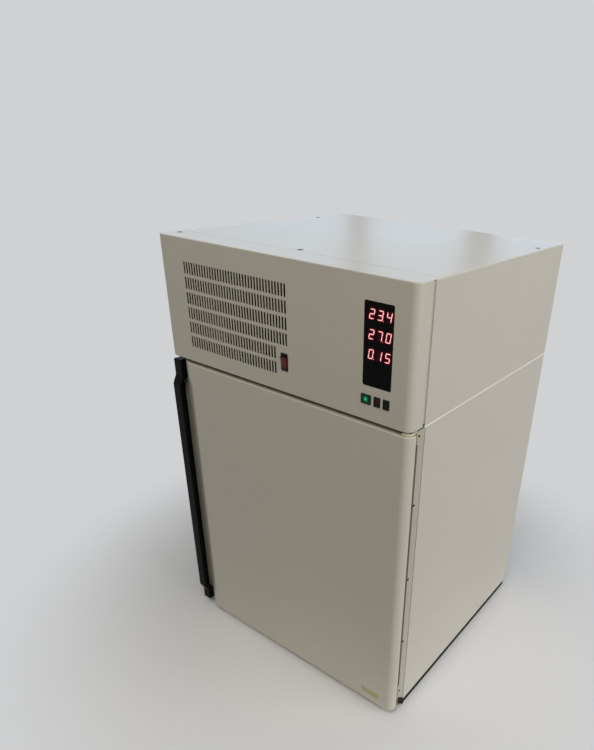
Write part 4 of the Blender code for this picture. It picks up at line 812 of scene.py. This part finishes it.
def make_door_pan():
    left, right, bottom, top = door_low.x, door_high.x, door_low.z, door_high.z
    pan = block("door_pan", (left, FRONT, bottom), (right, DOOR_BACK, top))
    round_edges(pan, lambda e: at(e, Y, FRONT) and at(e, X, right), DOOR_CORNER, 10)
    round_edges(pan, lambda e: (at(e, Z, top) or at(e, Z, bottom)) and not at(e, Y, DOOR_BACK)
                and not at(e, X, left), DOOR_FOLD, 5)
    for z in BENDS:
        slice_at(pan, Z, z)
    roll_back(pan, left)
    draw_ends_together(pan)
    closed_from = END_FACE_LEFT - END_RUN / 2
    open_up(pan, lambda f: at(f, Y, DOOR_BACK) or at(f, X, left)
            or (abs(f.normal.z) > 0.99 and middle(f).x < closed_from))
    pick(pan, "edges", lambda e: at(e, Y, DOOR_BACK) and at(e, X, right))
    bpy.ops.mesh.extrude_region_move(TRANSFORM_OT_translate={"value": (-RETURN_FLANGE, 0, 0)})
    thicken(pan, DOOR_SHEET)
    return pan


hand_over(make_door_pan(), paint, "door_shell", "door")

# %% [markdown]
# ## The handle
#
# A black moulded bar as high as the door. Its two ends sit on the flange, and between them it jumps
# forward and outward, so that fingers reach behind it from the right. Slices mark where it bends, the
# middle is moved as one, and a bevel rounds every edge as a mould does. A thin web then closes the left.

# %% Mould the handle
HANDLE_LEFT = LEFT + 2.6 * MM
HANDLE_WIDTH = 22.5 * MM
HANDLE_PROUD = 8.5 * MM
HANDLE_THICK = 7.5 * MM
HANDLE_SHIFT = 0.6 * MM
WEB_LEFT = HANDLE_LEFT + 0.4 * MM
WEB_THICK = 3 * MM
WEB_OVERLAP = 4 * MM             # how far the web runs on behind the bends


def make_handle():
    seat = handle_high.y
    bar = block("handle_bar", (HANDLE_LEFT, FRONT, handle_low.z),
                (HANDLE_LEFT + HANDLE_WIDTH, seat, handle_high.z))
    for z in BENDS:
        slice_at(bar, Z, z)
    grip = (BENDS[1] - HAIR, BENDS[2] + HAIR)
    move(bar, lambda v: grip[0] < v.co.z < grip[1], x=-HANDLE_SHIFT, y=-HANDLE_PROUD)
    move(bar, lambda v: grip[0] < v.co.z < grip[1] and v.co.y > FRONT, y=FRONT + HANDLE_THICK - seat)
    soften(bar, 2.2 * MM, 4, 15)
    web_right, web_back = WEB_LEFT + WEB_THICK, seat - 0.2 * MM
    unite(bar, block("web", (WEB_LEFT, FRONT - 4 * MM, BENDS[1]), (web_right, web_back, BENDS[2])))
    unite(bar, block("web", (WEB_LEFT + HAIR, FRONT + 1.5 * MM, BENDS[0] - WEB_OVERLAP),
                     (web_right - HAIR, web_back - HAIR, BENDS[3] + WEB_OVERLAP)))
    return bar


hand_over(make_handle(), handle_plastic, "door_handle", "door", 50)

# %% [markdown]
# ## The display window
#
# A dark acrylic pane sits just behind the face of the cover, so the punched edge frames it. Behind it a
# housing with a wider flange holds it from the inside. Three rows of red digits shine through the pane,
# and around each digit the pane's material paints a faint red glow by place, for the digit's light in the
# acrylic.

# %% Pane and housing
PANE_SETBACK = 0.6 * MM
PANE_BACK = FRONT + 3.8 * MM     # inside the housing
PANE_EDGE = 0.3 * MM             # the gap between the pane and the opening's edge
HOUSING_FRONT = FRONT + 2.3 * MM
HOLLOW_FRONT = FRONT + 3.7 * MM
WALL = 1 * MM


def window_slab(name, inset, front, back, corner, soft=0.0):
    """A slab smaller than the window's opening by an inset on each side."""
    return slab(name, WINDOW_X, WINDOW_Z, WINDOW.x - 2 * inset, WINDOW.y - 2 * inset, front, back,
                corner, soft)


def make_window():
    low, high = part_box("display_window")
    pane = window_slab("display_window_pane", PANE_EDGE, FRONT + PANE_SETBACK, PANE_BACK,
                       WINDOW_CORNER - PANE_EDGE, 0.3 * MM)
    unite(pane, slab("housing", WINDOW_X, WINDOW_Z, high.x - low.x, high.z - low.z, HOUSING_FRONT,
                     high.y, WINDOW_CORNER))
    cut(pane, window_slab("hollow", WALL, HOLLOW_FRONT, high.y + 5 * MM, 1.5 * MM))
    return pane


print("helpers: window_slab, make_window")

# %% Tinted acrylic
DIGIT_ROWS = [SEAM + z * MM for z in (178.0, 146.3, 114.6)]
DIGIT_X = [LEFT + x * MM for x in (506.5, 522.5, 538.5)]
DIGIT = Vector((8.9, 15.4)) * MM


def make_pane_material():
    """Dark acrylic that glows faintly around each digit."""
    material, tree, sockets = new_material(
        "dark display acrylic", Base_Color=colour(4, 3, 4), Roughness=0.12, Specular_IOR_Level=0.06,
        Emission_Strength=1.0)
    mask = 1.0
    for axis, places, size, near, far in ((X, DIGIT_X, DIGIT.x, 0.42, 0.78),
                                          (Z, DIGIT_ROWS, DIGIT.y, 0.48, 0.68)):
        pitch = abs(places[1] - places[0])
        off = away_from_plane(tree, axis, places[1])
        around_each = fade(tree, maths(tree, "PINGPONG", off, pitch / 2), size * near, size * far)
        around_all = fade(tree, off, pitch + size * 0.5, pitch + size * 0.8)
        mask = maths(tree, "MULTIPLY", mask, maths(tree, "MULTIPLY", around_each, around_all))
    glow = mix_colours(tree, mask, (0, 0, 0, 1), colour(30, 2, 5))
    plug(tree, sockets, {"Emission Color": glow})
    add_bumps(tree, sockets, 9, 0.01)
    return material


hand_over(make_window(), make_pane_material(), "display_window")

# %% [markdown]
# ## The digits
#
# Each digit is built from seven bars with pointed ends. One bar is modelled, and turned copies of it make
# the figures. The whole reading leans a little to the right, as such displays do, so at the end each
# point moves sideways by its height. Wider, thinner bars behind them stand for the glow in the acrylic.

# %% One bar, copied into figures
STROKE = 1.05 * MM
LEAN = math.tan(math.radians(9))
SEGMENTS = {            # centre in half sizes of the digit, and whether the bar is upright
    "a": (0, 1, False), "b": (1, 0.5, True), "c": (1, -0.5, True), "d": (0, -1, False),
    "e": (-1, -0.5, True), "f": (-1, 0.5, True), "g": (0, 0, False)}
FIGURES = {"0": "abcdef", "1": "bc", "2": "abged", "3": "abgcd", "4": "fgbc", "5": "afgcd", "7": "abc"}
READINGS = (("2", "3.", "4"), ("2", "7.", "0"), ("0.", "1", "5"))
POINT = Vector((2.4, 0, -0.5)) * MM        # the decimal point, from the digit's lower right corner
POINT_RADIUS = 0.35                        # of the stroke


def make_bar(length, upright, stroke, thick):
    """A flat bar with pointed ends, around the origin."""
    bar = disc("bar", (0, 0, 0), stroke / 2 / math.cos(math.pi / 6), thick, Y, 6)
    axis = Z if upright else X
    if upright:
        edit(bar)
        bpy.ops.transform.rotate(value=math.pi / 6, orient_axis="Y", center_override=(0, 0, 0))
    for reach in (length / 2, -length / 2):
        x, z = (0, reach) if upright else (reach, 0)
        move(bar, lambda v: v.co[axis] * reach > HAIR * abs(reach), x, z=z)
    finish_edit()
    return bar


def make_digits(name, stroke, thick, depth):
    """All nine figures, with their bars' middle at this depth."""
    half = Vector(((DIGIT.x - STROKE) / 2, (DIGIT.y - STROKE) / 2))
    gap = STROKE + 0.2 * MM
    bars = {True: make_bar(half.y - gap, True, stroke, thick),
            False: make_bar(2 * half.x - gap, False, stroke, thick)}
    digits = []
    for row, figures in zip(DIGIT_ROWS, READINGS):
        for x, figure in zip(DIGIT_X, figures):
            marks = []
            for segment in FIGURES[figure[0]]:
                across, height, upright = SEGMENTS[segment]
                marks.append(copy_to(bars[upright], (across * half.x, 0, height * half.y)))
            if "." in figure:
                place = Vector((half.x, 0, -half.y)) + POINT
                marks.append(disc("point", place, POINT_RADIUS * stroke, thick, Y, 8))
            digit = join(marks, "digit")
            digit.data.transform(Matrix(((1, 0, LEAN, x), (0, 1, 0, depth), (0, 0, 1, row),
                                         (0, 0, 0, 1))))
            digits.append(digit)
    for bar in bars.values():
        bpy.data.objects.remove(bar)
    return join(digits, name)


print("helpers: make_bar, make_digits")

# %% The reading and its glow
def make_digit_material(name, light, dark, strength):
    material, tree, sockets = new_material(name, Base_Color=colour(20, 2, 3), Roughness=0.4,
                                           Specular_IOR_Level=0.1, Emission_Strength=strength)
    tone = place_group(tree, TONE, Light=colour(*light), Dark=colour(*dark), Size=6 * MM)
    plug(tree, sockets, {"Emission Color": tone["Color"]})
    return material


for name, stroke, thick, setback, material in (      # the glow lies just in front of the pane
        ("display_digits", STROKE, 0.5 * MM, 0.5 * MM,
         make_digit_material("lit red digits", (255, 206, 206), (255, 188, 192), 1.45)),
        ("display_glow", 3.9 * MM, 0.1 * MM, 0.58 * MM,
         make_digit_material("red glow", (138, 0, 14), (116, 0, 10), 1.0))):
    hand_over(make_digits(name, stroke, thick, FRONT + setback), material, angle=0)

# %% [markdown]
# ## Push buttons
#
# Three caps stand a little proud of the cover. Each is a small moulding: softened front edges, a shallow
# dish, and a stem that runs back to its switch. The green one is lit from inside, brightest in its
# middle. The dark red one has only a faint painted glow in its middle, and the black one is dark.

# %% Button caps
CAP_FRONT = FRONT - 1.5 * MM
CAP_DEPTH = 4.5 * MM
DISH = ((1.2 * MM, 0.0), (0.5 * MM, 0.35 * MM))      # rims, and how far each one sinks
STEM = 6 * MM


def make_button(shade, from_right, width):
    x = RIGHT - from_right
    cap = slab(shade + "_button_cap", x, BUTTON_Z, width, BUTTON_HEIGHT, CAP_FRONT,
               CAP_FRONT + CAP_DEPTH, 1 * MM, 0.5 * MM)
    pick(cap, "faces", lambda f: at(f, Y, CAP_FRONT))
    for rim, sink in DISH:
        bpy.ops.mesh.extrude_region_move(TRANSFORM_OT_translate={"value": (0, sink, 0)})
        shrink = (1 - 2 * rim / width, 1, 1 - 2 * rim / BUTTON_HEIGHT)
        bpy.ops.transform.resize(value=shrink, center_override=(x, CAP_FRONT, BUTTON_Z))
    stem_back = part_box(shade + "_button")[1].y
    unite(cap, slab("stem", x, BUTTON_Z, STEM, STEM, CAP_FRONT + 2 * MM, stem_back, 0.6 * MM))
    return cap


def make_button_material(name, edge, centre, glow, x):
    """Translucent plastic whose colour is lighter in its middle."""
    material, tree, sockets = new_material(name, Roughness=0.3, Specular_IOR_Level=0.12,
                                           Emission_Strength=1.0)
    mask = fade(tree, away_from_point(tree, (x, CAP_FRONT, BUTTON_Z)), 0.5 * MM, 5.5 * MM)
    for label, first, second in (("Base Color", edge, centre), ("Emission Color", (0, 0, 0), glow)):
        plug(tree, sockets, {label: mix_colours(tree, mask, colour(*first), colour(*second))})
    add_bumps(tree, sockets, 0.8, 0.015)
    return material


BUTTON_LOOKS = {         # slot, colour at the edge, colour in the middle, glow in the middle
    "green": ("green_button", (4, 64, 40), (40, 150, 104), (34, 140, 96)),
    # The dark red cap has no lamp: its faint glow in the middle is painted light.
    "dark_red": ("dark_red_button", (30, 12, 11), (52, 18, 18), (14, 2, 3)),
    "black": ("black_plastic", (10, 14, 11), (20, 26, 21), (0, 0, 0))}
for shade, (slot, *looks) in BUTTON_LOOKS.items():
    from_right, width = BUTTONS[shade]
    finish = make_button_material(shade.replace("_", " ") + " button", *looks, RIGHT - from_right)
    hand_over(make_button(shade, from_right, width), finish, shade + "_button", shade + "_button")

# %% [markdown]
# ## The rocker switch
#
# A black bezel clips into the cover, and a dark red paddle rocks in it. The paddle's face is a shallow V,
# so whichever end stands out is the one to push. It is turned about its own pivot by half its throw.

# %% Bezel and paddle
PIVOT = FRONT + 3.5 * MM
CREST = 6.5 * MM
THROW = math.radians(14)


def rocker_slab(name, smaller, front, back, corner, soft=0.0):
    """A slab smaller than the rocker by so many millimetres in width and height."""
    size = ROCKER - Vector(smaller) * MM
    return slab(name, ROCKER_X, ROCKER_Z, size.x, size.y, front, back, corner, soft)


def make_bezel():
    low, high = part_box("rocker_bezel")
    bezel = rocker_slab("rocker_bezel_ring", (0, 0), low.y, FRONT - 0.2 * MM, 1.2 * MM, 0.6 * MM)
    unite(bezel, rocker_slab("body", (1.4, 2.4), FRONT - 0.6 * MM, high.y, 0.5 * MM))
    cut(bezel, rocker_slab("opening", (2.6, 8.4), low.y - 5 * MM, high.y - 1.8 * MM, 0.4 * MM))
    return bezel


def make_paddle():
    half_x = ROCKER.x / 2 - 1.6 * MM
    reach = ROCKER.y / 2 - 4.6 * MM
    paddle = block("rocker_paddle_face", (ROCKER_X - half_x, PIVOT - CREST, ROCKER_Z - reach),
                   (ROCKER_X + half_x, PIVOT, ROCKER_Z + reach))
    slice_at(paddle, Z, ROCKER_Z)
    move(paddle, lambda v: abs(v.co.z - ROCKER_Z) > HAIR and v.co.y < PIVOT - HAIR,
         y=-reach * math.tan(THROW / 2) / 2)
    move(paddle, lambda v: abs(v.co.z - ROCKER_Z) < HAIR and v.co.y > PIVOT - HAIR, y=CREST / 4)
    edit(paddle)
    bpy.ops.transform.rotate(value=-THROW / 2, orient_axis="X",
                             center_override=(ROCKER_X, PIVOT, ROCKER_Z))
    soften(paddle, 0.5 * MM, 3, 20)
    return paddle


def make_paddle_material():
    """Dark red plastic, lighter in its middle."""
    material, tree, sockets = new_material("dark red rocker", Roughness=0.22, Specular_IOR_Level=0.25)
    mask = fade(tree, away_from_plane(tree, Z, ROCKER_Z), 4 * MM, 12 * MM)
    red = mix_colours(tree, mask, colour(42, 12, 14), colour(104, 22, 28))
    plug(tree, sockets, {"Base Color": red})
    add_bumps(tree, sockets, 0.8, 0.01)
    return material


hand_over(make_bezel(), black_plastic, "rocker_bezel")
hand_over(make_paddle(), make_paddle_material(), "rocker_paddle", "rocker_paddle", 50)

# %% [markdown]
# ## The base
#
# The cabinet stands on a low black tray, set back under its front edge. A small black gusset slants from
# the tray up to the frame at each front corner, and shows beside the door.

# %% Tray and gussets
TRAY_FRONT = FRONT + 46 * MM
TRAY_SHEET = 2 * MM
GUSSET_FRONT = FRONT + 27.3 * MM
GUSSET_BACK = FRONT + 50 * MM
GUSSET_TOP = 40 * MM
GUSSET_WIDTH = 20 * MM           # between its two slanting edges
GUSSET_INSET = 0.3 * MM
GUSSET_THICK = 3 * MM            # from the cabinet's side


def make_tray():
    low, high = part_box("base_plinth")
    tray = block("base_tray", (low.x, TRAY_FRONT, low.z), high)
    round_edges(tray, lambda e: along(e, Z), 3 * MM, 4)
    open_up(tray, lambda f: f.normal.z > 0.99)
    finish_edit()
    round_edges(tray, lambda e: at(e, Z, low.z), 1 * MM, 3)
    thicken(tray, TRAY_SHEET)
    return tray


def make_gusset(name, x_low, x_high):
    gusset = block(name, (x_low, GUSSET_FRONT, 0), (x_high, GUSSET_BACK, GUSSET_TOP))
    for z, normal in ((GUSSET_TOP, (0, 1, 1)), (GUSSET_TOP - GUSSET_WIDTH, (0, -1, -1))):
        edit(gusset)
        bpy.ops.mesh.bisect(plane_co=(0, GUSSET_FRONT, z), plane_no=normal, use_fill=True,
                            clear_outer=True)
    soften(gusset, 0.5 * MM, angle=30)
    return gusset


hand_over(make_tray(), black_paint, "base_plinth")
gussets = join([make_gusset("left", LEFT + GUSSET_INSET, LEFT + GUSSET_THICK),
                make_gusset("right", RIGHT - GUSSET_THICK, RIGHT - GUSSET_INSET)], "base_gussets")
hand_over(gussets, black_paint)

# %% [markdown]
# ## Hinge brackets
#
# The door turns on two pins, each in the arm of a bracket that is fixed to the front frame. An arm
# follows the door's round corner and stays just inside it. Only the edges of the plates show from
# outside. The lowest part of the bottom bracket is painted black like the base.

# %% Arms and plates
ARM_WIDTH = 17 * MM
ARM_THICK = 4.4 * MM
ARM_CORNER = 11 * MM
PLATE_THICK = 2.5 * MM
PIN_X, PIN_Y = RIGHT - 8 * MM, FRONT + 13 * MM
PIN_HOLE = 2.8 * MM
BLACK_BELOW = 38 * MM
BLACK_NARROWER = 7 * MM          # so that the black plate can't be seen beside the door's corner


def make_plate(name, low, high, z_low, z_high):
    """The part of a bracket that is screwed to the front frame."""
    plate = block(name, (low.x, high.y - PLATE_THICK, z_low), (high.x, high.y, z_high))
    soften(plate, 0.6 * MM)
    return plate


def add_arm(plate, high, arm_low, setback):
    """The flat arm over or under the door, with its round corner and the pin's hole."""
    right, front = high.x - setback, FRONT + setback
    arm = block("arm", (high.x - ARM_WIDTH, front, arm_low),
                (right, high.y - PLATE_THICK / 2, arm_low + ARM_THICK))
    round_edges(arm, lambda e: along(e, Z) and at(e, Y, front) and at(e, X, right), ARM_CORNER, 8)
    soften(arm, 0.5 * MM)
    cut(arm, disc("pin hole", (PIN_X, PIN_Y, arm_low + ARM_THICK / 2), PIN_HOLE, 2 * ARM_THICK))
    unite(plate, arm)
    return plate


low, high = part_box("hinge_bracket_top")
top_plate = make_plate("top_hinge_bracket", low, high, low.z, high.z)
hand_over(add_arm(top_plate, high, high.z - ARM_THICK, 2 * MM), cream_plastic,
          "hinge_bracket_top")
low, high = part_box("hinge_bracket_bottom")
hand_over(make_plate("bottom_hinge_plate", low, high, BLACK_BELOW, high.z), cream_plastic,
          "hinge_bracket_bottom")
narrow = Vector((high.x - BLACK_NARROWER, high.y, high.z))
black_plate = make_plate("bottom_hinge_arm", low, narrow, low.z, BLACK_BELOW)
hand_over(add_arm(black_plate, high, low.z, 4.5 * MM), black_paint)

# %% [markdown]
# ## Screws, rivets and the rating plate
#
# Small fasteners give a sheet metal box its scale. The black screws and the small rivets in the top lie
# flush in their holes; the screws on the sides of the two front frames stand a little proud. One head is
# modelled for each kind, with a hexagon socket, and copied. A bare plate by the door's lower corner
# stands where a rating plate is fixed.

# %% Screw heads
def make_heads(name, places, radius, depth, socket, sideways):
    """Round heads with a hexagon socket, which face up or to the right, as one piece."""
    head = disc("head", (0, 0, -depth / 2), radius, depth)
    round_edges(head, lambda e: at(e, Z, 0), 0.35 * depth, 3)
    cut(head, disc("socket", (0, 0, 0), socket, depth * 1.1, sides=6))
    if sideways:
        head.data.transform(Matrix.Rotation(math.pi / 2, 4, "Y"))
    made = join([copy_to(head, place) for place in places], name)
    bpy.data.objects.remove(head)
    return made


SIDE_PROUD = 0.8 * MM
side_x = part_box("front_frame")[1].x + SIDE_PROUD
gap_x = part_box("hood_front_frame")[1].x + SIDE_PROUD
side_places = [(side_x, FRONT + 29 * MM, z * MM) for z in (658, 523, 358, 200, 58)]
HEADS = (      # name, places, radius, depth and socket in millimetres, sideways, slot, material
    ("top_screws", on_top(TOP_SCREWS), (5.6, 1.4, 2.0), False, "black_plastic", handle_plastic),
    ("top_rivets", on_top(TOP_RIVETS), (2.0, 1.2, 0.5), False, "steel", steel),
    ("side_screws", side_places, (2.3, 1.6, 1.0), True, "black_plastic", black_paint),
    ("gap_screw", [(gap_x, FRONT + 40.2 * MM, SEAM + 3 * MM)], (2.4, 1.6, 1.0), True, "black_plastic",
     black_paint))
for name, places, sizes, sideways, slot, material in HEADS:
    heads = make_heads(name, places, *[size * MM for size in sizes], sideways)
    hand_over(heads, material, angle=40)

# %% Rating plate
PLATE_X, PLATE_Z = LEFT + 534 * MM, 40.5 * MM
PLATE_WIDTH, PLATE_HEIGHT = 44 * MM, 13.5 * MM
PLATE_PROUD = 0.25 * MM
plate_foil = coated("pale yellow plate", (192, 184, 136), (180, 171, 120), 0.45, 0.9, 0.01, 0.02)
rating_plate = slab("rating_plate", PLATE_X, PLATE_Z, PLATE_WIDTH, PLATE_HEIGHT, FRONT - PLATE_PROUD,
                    FRONT + HAIR, 1.5 * MM, 0.1 * MM)
hand_over(rating_plate, plate_foil, body="door")

# %% [markdown]
# ## Lights, floor and background
#
# The photograph was lit by windows behind the machine and a bright room on its right, so the front lies
# in soft shade. Area lights stand for the windows, and their reflections band the top. The floor and the
# world share one pale grey; the floor is lit only near the machine, where it has to hold a shadow.

# %% Area lights
LAMPS = [                # name, place, aim, width, height, brightness as a surface, tint
    ("window pane %d" % number, (x, 3.5, 1.65), (x, 0, 1.65), width, 1.5, 1.15, (0.57, 0.76, 1.0))
    for number, (x, width) in enumerate(((-4.5, 3.4), (-2.11, 0.98), (-0.09, 2.58)))]
LAMPS += [
    ("bright room", (3.4, 0.3, 1.6), (0.2, 0.0, 0.5), 3.0, 2.4, 3.05, (0.985, 0.985, 1.0)),
    ("ceiling", (0.0, 0.4, 3.6), (0.0, 0.0, 0.0), 3.6, 3.6, 0.12, (0.88, 0.94, 1.0)),
    ("front ceiling", (0.8, -2.1, 3.2), (0.1, -0.2, 0.5), 2.6, 1.6, 4.15, (1.0, 0.955, 0.855))]
for name, place, aim, width, height, strength, tint in LAMPS:
    data = bpy.data.lights.new(name, "AREA")
    data.shape, data.size, data.size_y = "RECTANGLE", width, height
    data.energy = strength * width * height * math.pi
    data.color = tint
    lamp = bpy.data.objects.new(name, data)
    lamp.location = place
    lamp.rotation_euler = (Vector(aim) - Vector(place)).to_track_quat("-Z", "Y").to_euler()
    bpy.context.scene.collection.objects.link(lamp)
    print(name, round(data.energy, 1), "W")

# %% World
BACKGROUND = colour(208, 209, 210)


def seen_directly(tree):
    """1 where the camera, a reflection or a clear material looks, and 0 for light that falls."""
    rays = add_node(tree, "LightPath", {}, {})
    seen = maths(tree, "MAXIMUM", rays["Is Camera Ray"], rays["Is Glossy Ray"])
    return maths(tree, "MAXIMUM", seen, rays["Is Transmission Ray"])


def blend_shaders(tree, factor, first, second, output):
    """Mix two shaders into the tree's surface."""
    blend = add_node(tree, "MixShader", {}, {0: factor, 1: first, 2: second})
    plug(tree, tree.nodes[output].inputs, {"Surface": blend[0]})


world = bpy.data.worlds.new("pale room")
bpy.context.scene.world = world
world.use_nodes = True
sky = world.node_tree
shown = sky.nodes["Background"]
plug(sky, shown.inputs, {"Color": BACKGROUND})
dim = add_node(sky, "Background", {}, {"Color": colour(80, 78, 72)})
blend_shaders(sky, seen_directly(sky), dim[0], shown.outputs[0], "World Output")
print("world:", world.name)

# %% Floor
DIM_FLOOR = 0.15                 # the flat floor's strength for light that falls
LIT_WITHIN, FLAT_BEYOND = 0.4, 0.95      # metres from the machine's middle
clear_selection()
bpy.ops.mesh.primitive_circle_add(vertices=64, radius=30, fill_type="NGON", location=(0, 0, 0))
floor = settle("floor")
material, tree, sockets = new_material("pale floor", Base_Color=colour(236, 237, 240), Roughness=0.9)
floor.data.materials.append(material)
floor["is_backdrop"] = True
strength = maths(tree, "MULTIPLY_ADD", seen_directly(tree), 1 - DIM_FLOOR, DIM_FLOOR)
flat = add_node(tree, "Emission", {}, {"Color": BACKGROUND, "Strength": strength})
lit_less = fade(tree, away_from_point(tree, (0, 0, 0)), LIT_WITHIN, FLAT_BEYOND)
blend_shaders(tree, lit_less, flat[0], tree.nodes["Principled BSDF"].outputs[0], "Material Output")
print("floor:", len(floor.data.polygons), "face")

# %% [markdown]
# ## Measure the size and finish
#
# The box of the dressed model is measured, and the number of pieces is printed. The dressed model has to
# stay inside the box of the frame.

# %% Measure the dressed model and finish
low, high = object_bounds()
print("pieces:", len(made_pieces))
